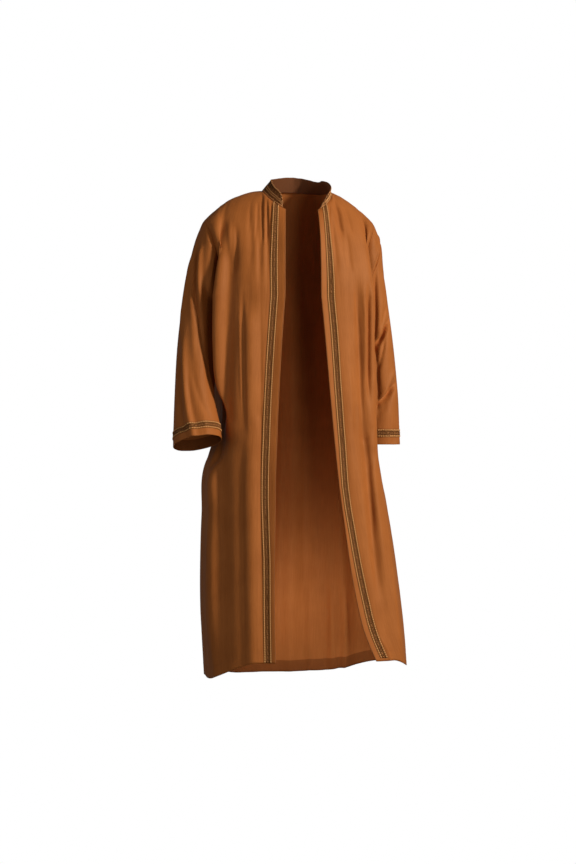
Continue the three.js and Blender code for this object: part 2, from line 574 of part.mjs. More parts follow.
// A closed wall between two offsets from a grid, measured along its normals.
function wall(grid, from, to) {
  const { points, normals, ring } = grid;
  const rows = points.length;
  const columns = points[0].length;
  const positions = [from, to].flatMap((offset) =>
    points.flatMap((row, r) => row.flatMap((point, c) => point.clone().addScaledVector(normals[r][c], offset).toArray())),
  );
  const vertex = (layer, r, c) => layer * rows * columns + r * columns + (c % columns);
  const index = [];
  const quad = (a, b, c, d) => index.push(a, b, c, a, c, d);
  const columnSteps = ring ? columns : columns - 1;
  for (let r = 0; r < rows - 1; r += 1) {
    for (let c = 0; c < columnSteps; c += 1) {
      quad(vertex(1, r, c), vertex(1, r, c + 1), vertex(1, r + 1, c + 1), vertex(1, r + 1, c));
      quad(vertex(0, r, c), vertex(0, r + 1, c), vertex(0, r + 1, c + 1), vertex(0, r, c + 1));
    }
  }
  for (let c = 0; c < columnSteps; c += 1) {
    const cap = [vertex(0, 0, c), vertex(0, 0, c + 1), vertex(1, 0, c + 1), vertex(1, 0, c)];
    // A ring runs up its back half, so there its cap is split along the other diagonal, as the piece it meets is.
    if (ring && c >= columns / 2) cap.push(cap.shift());
    quad(...cap);
    quad(vertex(0, rows - 1, c), vertex(1, rows - 1, c), vertex(1, rows - 1, c + 1), vertex(0, rows - 1, c + 1));
  }
  if (!ring) {
    for (let r = 0; r < rows - 1; r += 1) {
      quad(vertex(0, r, 0), vertex(1, r, 0), vertex(1, r + 1, 0), vertex(0, r + 1, 0));
      const end = columns - 1;
      quad(vertex(0, r, end), vertex(0, r + 1, end), vertex(1, r + 1, end), vertex(1, r, end));
    }
  }
  if (grid.facing < 0) index.reverse();
  const geometry = new THREE.BufferGeometry();
  geometry.setAttribute("position", new THREE.Float32BufferAttribute(positions, 3));
  geometry.setIndex(index);
  geometry.computeVertexNormals();
  return geometry;
}

// Part of a grid, for a strip that lies on the piece.
function strip(grid, firstRow, lastRow, firstColumn = 0, lastColumn = grid.points[0].length - 1) {
  const cut = (rows) => rows.slice(firstRow, lastRow + 1).map((row) => row.slice(firstColumn, lastColumn + 1));
  return { ...grid, points: cut(grid.points), normals: cut(grid.normals) };
}

// Draws a strip's first and last rows back by a length. They take their neighbours' normals, because
// a seam's own normals lean towards the next piece.
function drawnBack(grid, atFirst, atLast) {
  const last = grid.points.length - 1;
  const drawRow = (row, neighbour, length) =>
    row.map((point, c) => {
      const way = neighbour[c].clone().sub(point).normalize();
      return point.clone().addScaledVector(way, length);
    });
  const points = [...grid.points];
  points[0] = drawRow(points[0], points[1], atFirst);
  points[last] = drawRow(points[last], points[last - 1], atLast);
  const normals = [...grid.normals];
  normals[0] = normals[1];
  normals[last] = normals[last - 1];
  return { ...grid, points, normals };
}

// ---- the robe ----

const BROWN = new THREE.MeshStandardMaterial({ color: 0x9a5a30, roughness: 0.62, metalness: 0, side: THREE.DoubleSide });
const GOLD = new THREE.MeshStandardMaterial({ color: 0x8a6a30, roughness: 0.5, metalness: 0.25 });

function cloth(name, grid) {
  const mesh = new THREE.Mesh(wall(partSeams(grid), -CLOTH / 2, CLOTH / 2), BROWN);
  mesh.name = name;
  return mesh;
}

function braid(name, grid) {
  const from = CLOTH / 2 + BRAID_LIFT;
  const mesh = new THREE.Mesh(wall(grid, from, from + BRAID_WALL), GOLD);
  mesh.name = name;
  return mesh;
}

function frontBraid(sideName, grid) {
  const lastRow = grid.points.length - 1;
  const band = strip(grid, 0, lastRow, BRAID_FIRST_COLUMN, BRAID_LAST_COLUMN);
  return braid(`front_braid_${sideName}`, drawnBack(band, BRAID_NECK_MARGIN, BRAID_HEM_MARGINS[sideName]));
}

function cuffBraid(name, grid) {
  const row = (station) => grid.places.findIndex((place) => Math.abs(place - station) < 1e-6);
  return braid(name, strip(grid, row(BRAID_TOP_STATION), row(BRAID_BOTTOM_STATION)));
}

const frontRight = foldedFront("right");
const frontLeft = foldedFront("left");
const back = foldedBack();
const sleeveRight = sleeveGrid("right");
const sleeveLeft = sleeveGrid("left");
const collar = collarGrid(frontRight, frontLeft, back);
shareSeamNormals([frontRight, frontLeft, back, sleeveRight, sleeveLeft, collar]);

const robe = new THREE.Group();
robe.add(cloth("front_right", frontRight));
robe.add(cloth("front_left", frontLeft));
robe.add(cloth("back", back));
robe.add(cloth("sleeve_right", sleeveRight));
robe.add(cloth("sleeve_left", sleeveLeft));
robe.add(cloth("collar", collar));
robe.add(frontBraid("right", frontRight));
robe.add(frontBraid("left", frontLeft));
robe.add(cuffBraid("cuff_braid_right", sleeveRight));
robe.add(cuffBraid("cuff_braid_left", sleeveLeft));
const collarBand = strip(collar, 1, COLLAR_LEVELS.length - 2, 1, collar.points[0].length - 2);
robe.add(braid("collar_braid", collarBand));

export default robe;
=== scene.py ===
"""A long open-front robe in thin brown cloth, with gold braid at its front edges, cuffs and collar.

Every cloth piece is worked out here as a fine, thin shell on the form of its solid, from the same sizes.
Sizes are in millimetres until they reach a mesh, which is in metres. The wearer faces -Y, +Z is up, and the
origin is the middle of the neck opening. Heights are drops below it, and sideways places are distances
outwards from the middle.
"""

import bpy
import numpy as np
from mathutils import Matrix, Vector


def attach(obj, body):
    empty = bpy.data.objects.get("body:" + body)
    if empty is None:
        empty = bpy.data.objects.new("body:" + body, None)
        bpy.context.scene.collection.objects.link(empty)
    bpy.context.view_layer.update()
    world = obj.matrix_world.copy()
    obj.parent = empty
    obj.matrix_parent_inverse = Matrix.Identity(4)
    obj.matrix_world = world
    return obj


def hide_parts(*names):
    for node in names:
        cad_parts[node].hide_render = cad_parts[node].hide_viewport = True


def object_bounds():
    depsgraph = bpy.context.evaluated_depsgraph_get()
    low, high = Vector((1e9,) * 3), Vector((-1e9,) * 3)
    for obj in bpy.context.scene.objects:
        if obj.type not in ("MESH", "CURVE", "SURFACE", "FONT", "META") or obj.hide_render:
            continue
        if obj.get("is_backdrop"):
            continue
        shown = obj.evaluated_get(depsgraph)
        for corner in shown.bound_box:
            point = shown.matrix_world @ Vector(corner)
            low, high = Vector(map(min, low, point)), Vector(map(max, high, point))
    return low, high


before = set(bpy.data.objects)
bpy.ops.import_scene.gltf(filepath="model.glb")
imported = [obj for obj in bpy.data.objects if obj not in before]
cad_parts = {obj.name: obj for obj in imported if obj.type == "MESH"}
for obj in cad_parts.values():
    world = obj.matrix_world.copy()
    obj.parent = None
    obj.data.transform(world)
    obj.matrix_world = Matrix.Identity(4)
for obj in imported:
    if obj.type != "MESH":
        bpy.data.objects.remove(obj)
cad_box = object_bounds()
METRES = 0.001
TINY = 1e-9
draw = np.random.default_rng(7)


def table(columns, *rows):
    """Rows of values under named columns."""
    names = columns.split()
    return [dict(zip(names, row)) for row in rows]


def tables(columns, **rows):
    """A table for each name, all with the same columns."""
    return {name: table(columns, *found) for name, found in rows.items()}


# ---- sizes that the solids have too ----

FRONT_MARGIN, BRAID_WIDTH = 19, 22
MARGIN = FRONT_MARGIN + BRAID_WIDTH
FRONT_MARGINS = {  # level down a front (0 neck, 1 underarm, 2 hem): bare cloth between the edge and the braid
    "right": {0: 23, 0.7: 21, 1.0: 19, 1.4: 19, 1.56: 18, 1.64: 15, 1.72: 11, 1.8: 10, 2: 11},
    "left": {0: 19, 1.1: 18, 1.24: 15, 1.41: 12, 1.52: 7, 1.59: 7, 1.69: 11, 1.78: 15, 1.85: 17, 2: 18},
}
BRAID_HEM_MARGINS, BRAID_NECK_MARGIN = {"right": 2, "left": 10}, 5
UNDERARM_DROP = 290
ARMHOLE_BULGE, BULGE_FROM = 66, 0.7
SHOULDER_ROUND = 1.18
NECK_HALF, NECK_FRONT, NECK_BACK = 98, 84, 66
NECK_FRONT_DROP, NECK_SIDE_RISE, NECK_BACK_RISE, NECK_STEEPNESS = 50, 8, 15, 1.5
NECK_FRONT_ANGLE = np.radians(27)
NECK_SHARE = 0.3
HEM_BACK, BACK_HEM_FROM = 1360, 0.3
SIDES = {
    "right": dict(sign=-1, tip=264, tip_drop=80, arch=22, hem_edge=1288, hem_side=1345, hem_from=0.25),
    "left": dict(sign=1, tip=217, tip_drop=78, arch=10, hem_edge=1289, hem_side=1318, hem_from=0.45),
}
SECTIONS = tables("drop edge edge_y ridge ridge_y tuck side back_ridge back_ridge_y", right=[
    (290, 57, -136, 248, -88, 209, 203, 214, 92),
    (420, 67, -142, 250, -88, 218, 206, 217, 96),
    (560, 76, -148, 242, -92, 219, 209, 221, 100),
    (640, 80, -149, 219, -97, 216, 222, 223, 104),
    (695, 82, -150, 212, -100, 224, 240, 225, 107),
    (750, 84, -152, 245, -84, 250, 255, 228, 111),
    (900, 87, -158, 255, -78, 259, 262, 234, 121),
    (1100, 91, -171, 258, -82, 263, 267, 240, 134),
    (1370, 89, -190, 245, -94, 250, 253, 234, 152),
], left=[
    (290, 42, -132, 194, -88, 156, 146, 176, 92),
    (420, 53, -138, 196, -88, 161, 150, 184, 96),
    (560, 64, -144, 200, -88, 167, 160, 194, 100),
    (700, 76, -150, 204, -92, 173, 167, 200, 106),
    (750, 81, -152, 214, -95, 212, 213, 209, 111),
    (825, 89, -155, 226, -99, 237, 245, 219, 116),
    (900, 99, -158, 238, -103, 251, 262, 228, 121),
    (1100, 128, -167, 265, -112, 281, 294, 252, 134),
    (1200, 150, -172, 277, -115, 293, 306, 260, 141),
    (1370, 223, -180, 290, -118, 305, 318, 270, 152),
])
BACK_DEPTHS = table("drop back_y", (290, 126), (560, 130), (850, 146), (1370, 194))
FRONT_KNOTS = [0, 0.42, 0.78, 0.9, 1]
BACK_KNOTS = [0, 0.5, 0.78, 0.9, 1]
CHEST_CROWN, BLADE_CROWN, BLADE_SHARE, TUCK_SHARE = 20, 12, 0.6, 0.52

FOLDS = tables("top top_drop foot foot_drop half depth", right=[
    (99, 20, 104, 290, 8, -4),
    (120, 30, 128, 310, 8, -4),
    (141, 40, 150, 260, 9, -3),
    (156, 300, 150, 1400, 20, 9),
    (178, 260, 172, 700, 8, -3),
    (201, 110, 234, 700, 23, -18),
    (237, 640, 233, 1400, 24, -11),
    (260, 560, 260, 1400, 11, 6),
], left=[
    (84, 20, 88, 260, 8, -4),
    (104, 30, 110, 240, 8, -3),
    (146, 220, 167, 700, 12, -8),
    (184, 230, 182, 620, 8, -9),
    (160, 600, 204, 1150, 15, -10),
], back=[
    (-118, 200, -150, 1420, 24, -12),
    (-52, 260, -70, 1420, 26, 8),
    (8, 170, 14, 1420, 22, -10),
    (66, 280, 98, 1420, 26, 8),
    (112, 200, 178, 1420, 24, -12),
])

SLEEVES = tables("outer outer_drop inner inner_drop middle_y half_depth tilt skew", right=[
    (286, 136, 219, 291, 0, 71, 0, 1),
    (306, 218, 223, 301, 0, 72, 0, 0.7),
    (321, 300, 229, 327, -2, 70, 0, 0.3),
    (337, 430, 236, 430, -12, 66, 3, 0),
    (348, 560, 240, 553, -45, 64, 10, 0),
    (356, 662.4, 228, 646.4, -83.2, 62, 19, 0),
    (357.5, 682.6, 227, 666.6, -91.8, 62, 20, 0),
    (358.5, 702, 226, 686, -100, 62, 21, 0),
], left=[
    (239, 134, 160, 291, 1, 71, 0, 1),
    (246, 205, 165, 301, 3, 72, 0, 0.7),
    (260, 307, 168, 328, 4, 71, 0, 0.3),
    (276, 425, 170, 425, 4, 70, 0, 0),
    (289, 560, 178, 560, 4, 70, 0, 0),
    (293, 656, 182, 656, 4, 70, 0, 0),
    (294, 678, 183, 678, 4, 70, 0, 0),
    (295, 699, 183, 699, 4, 70, 0, 0),
])
BRAID_TOP_STATION, BRAID_FOOT_STATION = 6, 7
SLEEVE_FOLDS = tables("start start_angle end end_angle half depth", right=[
    (1.4, 106, 5.3, 146, 20, -11),
    (2.0, 38, 9.2, 62, 17, 8),
    (3, 318, 5, 262, 16, -7),
], left=[
    (2.8, 36, 4.3, 104, 15, -8),
    (4.5, 40, 5.6, 110, 15, -7),
    (3, 320, 5, 258, 16, -7),
])
COLLAR_HEIGHT, COLLAR_END_RADIUS, COLLAR_LOWEST_END = 44, 22, 0.3
COLLAR_LEANS = tables(
    "along lean", right=[(0, 16), (45, 26), (90, 38)], left=[(0, -38), (30, -22), (60, 6), (90, 34)]
)
BACK_LEAN = 20

# ---- finer form that only the surface has ----

CLOTH = 1.0  # thickness of the shells
HEM_DEPTH, HEM_LAYER = 30, 0.6  # turned up this far and stitched, as a layer this far inside
HEM_BAND = 2.2 * HEM_DEPTH  # the cloth that its stitches are laid on
STITCH_DIP, STITCH_DIP_WIDTH = 0.45, 2.2
PUCKER = dict(height=0.35, reach=14, across=9, down=26)  # beside the hem's stitches
CUFF_STITCH_RISE, CUFF_RELIEF = 12, 0.7  # a cuff is stitched higher up, and more softly
SEAM_GROOVE, SEAM_GROOVE_WIDTH = 0.9, 3.5
GROOVE_FADES, GROOVE_RETURNS = (0.4, 0.8), (1.0, 1.12)  # levels down the body, with 1 at the underarm
ARMHOLE_VALLEY, ARMHOLE_VALLEY_WIDTH = {"right": 6.5, "left": 3.5}, 9.0
VALLEY_GROWS, VALLEY_DIES = (0.12, 0.4), (0.7, 1.0)  # levels too
ARMHOLE_VALLEY_WAY = (0.5, 0.87)  # shares of its depth towards the middle, and from front and back inwards
EDGE_FLARE, EDGE_FLARE_WIDTH, EDGE_FLARE_DROP = 7.0, 30.0, 120  # front edges stand forward of the panels
FACING_LAYER, FACING_ENDS = 0.35, (MARGIN + 7, MARGIN + 9)  # the turned-in edge lifts the cloth over it
FACING_FROM, HEM_FROM, NECK_SEAM_FROM = (1, 3), (6, 16), (10, 30)  # these begin so far from a front edge
FOLD_FADE_TOP, FOLD_FADE_FOOT, SEAM_FADE = 90, 130, 26
FACE_FADE = (38, 64)  # front folds die away where the cloth turns to the side, this far ahead of the middle
SLEEVE_FOLD_FADE = 0.3
CREASE_FADE, CREASE_BENDS, CREASE_WANDER = 0.3, 3, 0.35
ARM_ROWS, SKIRT_ROWS = 44, 160  # rows from neck to underarm, and from there to the hem
MARGIN_STEP = 1.7  # between columns from a front edge to the far side of its braid
FRONT_COLUMNS, BACK_COLUMNS = dict(neck=26, shoulder=78), dict(neck=26, shoulder=62)
RING_POINTS = 84  # down each half of a sleeve's ring
SLEEVE_STEPS = [19, 19, 19, 26, 26, 19, 8, 8]
CURVE_SAMPLES = 400
COLLAR_ROWS, COLLAR_WALL = 26, 1.8
# On the collar, places are shares of its height. A rope also has the width of its beads.
COLLAR_BRAID, COLLAR_YARNS, COLLAR_DOTS = (0.1, 0.93), (0.43, 0.29), (0.62, 0.74, 0.22)
COLLAR_ROPES = ((0.93, 2.6), (0.5, 2.0), (0.36, 1.7), (0.12, 2.0))
COLLAR_ROPE_LENGTH, COLLAR_ROPE_HEIGHT, COLLAR_ROPE_TURN = 1.15, 1.0, 0.45  # length as a share of the pitch
COLLAR_GROUND_HEIGHT, COLLAR_GROUND_LIFT, COLLAR_ROPE_LIFT, COLLAR_YARN_LIFT = 0.6, 0.5, 0.9, 1.0
COLLAR_YARN_RADIUS = 0.45

# Slow unevenness of hanging cloth: wavelengths across and down, and height.
RIPPLES = table("across down height", (70, 420, 1.8), (34, 190, 1.0), (12, 120, 0.28), (15, 46, 0.2))
RIPPLE_SHIFTS, RIPPLE_SEEDS = (17.3, 5.1), {"front": 3.7, "back": 9.2, "sleeve": 21}
EDGE_CALM, HEM_CALM, SLEEVE_CALM, ARMHOLE_CALM = 90, 60, 40, 60  # ripples grow over these lengths from there
HEM_RIPPLE = 0.35  # share of a ripple that is left at a front's hem

# Sizes of beads are length, width and height.
ROPE_BEAD, DOT, PETAL_DOT, KNOT = (4.2, 4.0, 1.7), (1.4, 1.1, 0.6), (2.0, 2.0, 0.8), (3.4, 1.7, 0.7)
CHECK, COLLAR_DOT, STITCH = (2.2, 1.6, 0.6), (2.0, 1.5, 0.7), (2.6, 0.84, 0.448)
BRAID_SLOTS = ["braid_ground", "braid_gold", "braid_leaf", "braid_dark", "braid_edge", "braid_rope"]
GROUND, GOLD, LEAF, DARK, EDGE, ROPE = range(6)
BEAD_PITCH = 6.4
GROUND_HEIGHT, YARN_LIFT, BEAD_LIFT = 0.7, 0.6, 0.8  # over the cloth
ROPE_INSET, ROPE_HALF, ROPE_HEIGHT, ROPE_TWIST = 2.6, 1.9, 0.5, 0.4
# Yarns beside a rope: distance outwards from its middle, radius, slot, and height over the cloth.
ROPE_YARNS, DOTS_INSET = ((2.3, 0.3, EDGE, 0.5), (-2.5, 0.35, DARK, 0.7)), 3.3
SCROLL_PITCH, SCROLL_STEP = 27, 1.6  # one leaf, and between points of its yarns
SCROLL_YARN = (0.55, LEAF, 0.75)  # radius, slot, and height over the cloth
PETAL_SHARES, PETAL_HEIGHT, PETAL_TURN, PETAL_DOTS = (0.42, 0.85), 0.8, 0.12, (-0.32, 0.32)
KNOT_REACH, KNOT_TURN, CHECK_REACH = 0.75, 0.5, 0.42
SCROLL_REACH, SCROLL_INSET = 4.6, 6.2
CHECK_EVERY, CHECK_LENGTH, CHECK_PITCH = 216, 26, 2.4  # stretches of checks between the scrolls
FRONT_STITCHES, CUFF_STITCH_GAP = (FRONT_MARGIN - 2.2, MARGIN + 2.0), 1.8  # beside the braids
ROLLED_EDGE = (1.4, 0.5, 0, 0.1)  # how far in, radius, slot, and height over the cloth
STITCH_START, EDGE_STITCH_PITCH, HEM_STITCH_PITCH = 4.0, 4.2, 5.0
RIBBON_STEPS, CORD_SIDES = (3.0, 2.5), 5
EDGE_PATCH_STEP = 2.5

# Creases are bent lines across a panel: from one place and drop to another, bowed outwards by bow. A crease
# with a lean is steeper on one side.
CREASES = tables("from_x from_drop to_x to_drop bow half depth lean", right=[
    (104, 4, 117, 165, 1, 3.4, -3.4, 0),
    (93, 6, 104, 160, 1, 3.4, -3.4, 0),
    (82, 14, 93, 124, 0, 3.2, -2.6, 0),
    (117, 4, 134, 150, 1, 4.0, -2.2, 0.3),
    (133, 4, 152, 116, 1, 4.5, -1.6, 0),
    (99, 4, 111, 120, 1, 3.0, 1.6, 0),
    (180, 235, 175, 650, 2, 4.5, 2.6, 0.3),
    (171, 250, 163, 700, 1, 4.2, -2.8, -0.4),
    (123, 200, 126, 1270, 0, 3.0, -1.8, -0.6),
    (182, 90, 194, 240, 1, 5, -3.6, 0.3),
    (199, 70, 206, 190, 1, 7, 2.6, 0),
    (238, 700, 236, 1000, 2, 8, -2.6, 0.3),
    (172, 690, 168, 1340, 2, 6, -3.0, -0.4),
    (226, 620, 220, 1340, 3, 24, -5.0, 0),
    (200, 330, 218, 690, 4, 15, -4.0, 0),
    (150, 560, 118, 640, 6, 12, -1.2, 0),
    (228, 560, 186, 650, 6, 12, -2.2, 0.3),
    (196, 60, 226, 150, 8, 13, -2.0, 0),
], left=[
    (93, 8, 112, 130, 2, 8, -5.0, 0.4),
    (114, 84, 132, 240, 3, 9, -3.0, 0.3),
    (80, 26, 75, 100, 0, 3.0, -2.4, 0),
    (122, 20, 140, 120, 1, 6, -1.8, 0),
    (148, 260, 166, 700, 0, 5, -3.0, 0.4),
    (166, 260, 172, 560, 1, 4.5, 2.6, 0),
    (184, 250, 184, 600, 0, 5, -4.0, 0.3),
    (134, 300, 142, 700, 3, 11, -2.2, 0),
    (112, 380, 130, 900, 0, 14, 1.6, 0),
    (164, 620, 192, 1000, 3, 9, -5.0, 0.3),
    (186, 700, 220, 1120, 3, 9, 2.6, 0),
    (192, 1214, 233, 1304, 5, 2.4, 1.8, 0),
    (232, 900, 262, 1300, 0, 9, 2.0, 0),
    (262, 960, 290, 1300, 0, 9, -2.6, 0.3),
    (190, 640, 158, 700, 5, 10, -2.2, 0),
    (70, 225, 104, 190, 4, 10, -1.2, 0),
    (196, 700, 176, 780, 4, 9, -2.4, 0.3),
], back=[
    (-60, 10, -84, 190, 5, 9, -3.0, 0.3),
    (56, 10, 78, 200, -5, 9, -3.0, 0.3),
    (-84, 8, -104, 120, 3, 6, -2.2, 0),
    (80, 8, 100, 130, -3, 6, -2.2, 0),
    (-190, 300, -196, 900, 4, 12, -5.0, 0.2),
    (166, 300, 190, 900, -4, 12, -5.0, 0.2),
    (-96, 330, -112, 1340, 3, 9, 3.0, 0.3),
    (-20, 420, -30, 1340, 2, 10, -3.0, 0.2),
    (38, 300, 52, 1340, 2, 9, 3.2, -0.3),
    (126, 460, 150, 1340, 2, 9, 3.0, 0.3),
    (-180, 820, -200, 1340, 3, 12, -4.0, 0),
    (196, 760, 232, 1340, 3, 12, -4.0, 0),
    (-140, 660, 110, 676, -14, 15, -1.8, 0),
    (-150, 735, 60, 722, 10, 13, -1.4, 0.3),
    (-30, 596, 160, 640, 8, 14, -1.5, 0),
    (70, 1060, 76, 1420, 1, 6, 7.0, 0.3),
    (112, 1040, 120, 1400, 1, 6, 7.5, 0.3),
    (134, 1080, 140, 1400, 2, 5, -8.0, 0),
    (152, 1060, 160, 1400, 2, 5, 8.0, 0.3),
    (170, 1090, 174, 1400, 1, 4.5, -8.0, 0),
    (30, 1196, 150, 1204, 3, 4, 1.6, 0),
    (40, 1150, 120, 1166, 2, 4, -1.4, 0),
    (-80, 1170, -30, 1176, 2, 4, 1.4, 0),
])
# Creases on a sleeve, from one station and angle to another. The hidden side of both has the same ones.
HIDDEN_CREASES = [
    (2.4, 350, 4.8, 318, 9, -3.0),
    (3.6, 240, 6.4, 205, 12, -4.0),
    (5.0, 300, 8.6, 290, 12, -3.0),
]
SLEEVE_CREASES = tables("start start_angle end end_angle half depth", right=[
    (0.8, 30, 3.4, 72, 8, -10.0),
    (2.7, 58, 4.6, 128, 8, -9.0),
    (0.6, 52, 3.4, 94, 10, 7.0),
    (2.4, 48, 4.6, 84, 10, 3.5),
    (4.4, 70, 6.2, 126, 8, -2.2),
    (1.0, 18, 4.2, 31, 10, 8.0),
    (3.4, 150, 5.2, 166, 17, 5.0),
    (3.6, 42, 6.9, 76, 7, 6.0),
    (5.9, 70, 9.8, 76, 7, 6.0),
    (3.8, 24, 7.1, 56, 13, -11.0),
    (6.0, 50, 9.8, 58, 12, -9.0),
    (4.4, 56, 6.6, 90, 8, -2.4),
    (5.2, 100, 8.6, 112, 9, 2.6),
    *HIDDEN_CREASES,
], left=[
    (0.85, 6, 1.35, 116, 10, -12.0),
    (0.5, 10, 1.1, 100, 14, 3.0),
    (2.0, 14, 3.2, 70, 8, -4.0),
    (1.0, 92, 6.0, 110, 9, -9.0),
    (2.95, 30, 4.0, 108, 8, 5.0),
    (3.25, 26, 4.2, 118, 7, -16.0),
    (4.35, 30, 5.2, 108, 8, 5.0),
    (4.65, 26, 5.4, 124, 8, -18.0),
    (3.7, 60, 4.6, 104, 7, -5.0),
    (5.2, 30, 8.6, 44, 7, 3.0),
    (5.5, 58, 8.6, 64, 8, -3.4),
    (5.9, 20, 7.0, 90, 8, -3.0),
    *HIDDEN_CREASES,
])


# ---- curves and noise ----

def mix(a, b, t):
    return a + (b - a) * t


def ease(t):
    return t * t * (3 - 2 * t)


def smooth(x, low, high):
    return ease(np.clip((x - low) / (high - low), 0, 1))


def fading(share, fade):
    """Strength along a fold, which grows and dies away over a share of its length."""
    return smooth(share, 0, fade) * (1 - smooth(share, 1 - fade, 1))


def bell(distance):
    return np.exp(-distance * distance)


def steps(start, end, count):
    return np.linspace(start, end, count + 1)[1:]


def through(knots, values, at):
    """A smooth curve through values at uneven, rising knots. The values may differ from point to point."""
    knots, at = np.asarray(knots, float), np.asarray(at, float)
    values = np.stack([np.broadcast_to(np.asarray(v, float), at.shape) for v in values])
    spans = np.diff(knots).reshape((-1,) + (1,) * at.ndim)
    slopes = np.diff(values, axis=0) / spans
    before, after = spans[:-1], spans[1:]
    middle = (slopes[:-1] * after + slopes[1:] * before) / (before + after)
    tangents = np.concatenate([slopes[:1], middle, slopes[-1:]])
    t = np.clip(at, knots[0], knots[-1])
    i = np.clip(np.searchsorted(knots, t, side="left") - 1, 0, len(knots) - 2)
    span = knots[i + 1] - knots[i]
    s = (t - knots[i]) / span
    pick = lambda rows, k: np.take_along_axis(rows, k[None], 0)[0]
    start = pick(values, i) * (2 * s**3 - 3 * s**2 + 1) + pick(tangents, i) * span * (s**3 - 2 * s**2 + s)
    end = pick(values, i + 1) * (3 * s**2 - 2 * s**3) + pick(tangents, i + 1) * span * (s**3 - s**2)
    return start + end


def column(rows, name, at, key="drop"):
    """A named column of a table, read at any place between its rows."""
    return through([row[key] for row in rows], [row[name] for row in rows], at)


def points_of(x, y, z):
    return np.stack(np.broadcast_arrays(x, y, z), axis=-1).astype(float)


def length_along(points, axis=0):
    """Length from the first point, along rows or columns of points."""
    lengths = np.linalg.norm(np.diff(points, axis=axis), axis=-1)
    start = np.zeros_like(np.take(lengths, [0], axis))
    return np.concatenate([start, np.cumsum(lengths, axis)], axis)


def unit(vectors):
    return vectors / np.maximum(np.linalg.norm(vectors, axis=-1, keepdims=True), TINY)


NOISE_CELLS = 128
noise_table = draw.uniform(-1, 1, (NOISE_CELLS, NOISE_CELLS))


def noise(a, b):
    """Smooth unevenness between -1 and 1, with cells one unit wide."""
    i, j = np.floor(a).astype(int), np.floor(b).astype(int)
    s, t = ease(a - i), ease(b - j)
    cell = lambda di, dj: noise_table[(i + di) % NOISE_CELLS, (j + dj) % NOISE_CELLS]
    return mix(mix(cell(0, 0), cell(1, 0), s), mix(cell(0, 1), cell(1, 1), s), t)


# ---- the body of the robe ----

def neck_seam(side, angle):
    """Neck seam, by the angle round the neck from straight ahead to straight behind."""
    ahead = np.cos(angle)
    front = mix(NECK_SIDE_RISE, -NECK_FRONT_DROP, np.abs(ahead / np.cos(NECK_FRONT_ANGLE)) ** NECK_STEEPNESS)
    rise = np.where(ahead > 0, front, mix(NECK_SIDE_RISE, NECK_BACK_RISE, ahead * ahead))
    depth = np.where(ahead > 0, NECK_FRONT, NECK_BACK)
    return points_of(side["sign"] * NECK_HALF * np.sin(angle), -depth * ahead, rise)


def top_line(side, is_back, u):
    """Neck seam and then shoulder seam, from the middle out to the shoulder's tip."""
    start = np.pi if is_back else NECK_FRONT_ANGLE
    neck = neck_seam(side, mix(start, np.pi / 2, np.clip(u / NECK_SHARE, 0, 1)))
    t = np.clip((u - NECK_SHARE) / (1 - NECK_SHARE), 0, 1)
    x = side["sign"] * mix(NECK_HALF, side["tip"], t)
    z = mix(NECK_SIDE_RISE, -side["tip_drop"], t) + side["arch"] * 4 * t * (1 - t)
    return np.where((u <= NECK_SHARE)[..., None], neck, points_of(x, 0 * z, z))


def level_point(side_name, is_back, u, drop):
    """A point of a level section of the front or half the back."""
    at = lambda name: column(SECTIONS[side_name], name, drop)
    tuck, side = at("tuck"), (at("side"), 0 * drop)
    if is_back:
        middle = (0 * drop, column(BACK_DEPTHS, "back_y", drop))
        ridge = (at("back_ridge"), at("back_ridge_y"))
        blade = (ridge[0] * BLADE_SHARE, mix(middle[1], ridge[1], BLADE_SHARE) + BLADE_CROWN)
        half = [middle, blade, ridge, (tuck, ridge[1] * TUCK_SHARE), side]
        controls = [(-x, y) for x, y in half[:0:-1]] + half
        knots = [-knot for knot in BACK_KNOTS[:0:-1]] + BACK_KNOTS
    else:
        edge, ridge = (at("edge"), at("edge_y")), (at("ridge"), at("ridge_y"))
        chest = ((edge[0] + ridge[0]) / 2, (edge[1] + ridge[1]) / 2 - CHEST_CROWN)
        controls, knots = [edge, chest, ridge, (tuck, ridge[1] * TUCK_SHARE), side], FRONT_KNOTS
    x, y = (through(knots, [point[i] for point in controls], u) for i in (0, 1))
    return points_of(SIDES[side_name]["sign"] * x, y, -drop)


def hem_drop(side, is_back, u):
    if is_back:
        return mix(HEM_BACK, side["hem_side"], smooth(u, BACK_HEM_FROM, 1))
    return mix(side["hem_edge"], side["hem_side"], smooth(u, side["hem_from"], 1))


def armhole_down(share):
    """How far down the armhole a share of its length lies."""
    return 1 - np.maximum(0, np.cos(share * np.pi / 2)) ** SHOULDER_ROUND


def body_point(side_name, is_back, u, v):
    """A point of a front or half a back. v is 0 at the neck and shoulder, 1 at the underarm, 2 at the hem."""
    side = SIDES[side_name]
    u, v = np.broadcast_arrays(np.asarray(u, float), np.asarray(v, float))
    skirt_drop = mix(UNDERARM_DROP, hem_drop(side, is_back, u), np.clip(v - 1, 0, 1))
    skirt = level_point(side_name, is_back, u, skirt_drop)
    top, chest = top_line(side, is_back, u), level_point(side_name, is_back, u, UNDERARM_DROP + 0 * u)
    share = np.clip(v, 0, 1)
    out, down = np.sin(share * np.pi / 2) ** SHOULDER_ROUND, armhole_down(share)
    facing = 1 if is_back else -1
    bulge = facing * ARMHOLE_BULGE * smooth(u, BULGE_FROM, 1) * np.sin(np.pi * share)
    x = mix(top[..., 0], chest[..., 0], mix(out, down, u))
    y = mix(top[..., 1], chest[..., 1], out) + bulge
    z = mix(top[..., 2], chest[..., 2], down)
    return np.where((v > 1)[..., None], skirt, points_of(x, y, z))


ROWS = np.concatenate([np.linspace(0, 1, ARM_ROWS + 1), steps(1, 2, SKIRT_ROWS)])
MARGIN_COLUMNS = np.linspace(0, MARGIN, round(MARGIN / MARGIN_STEP) + 1)


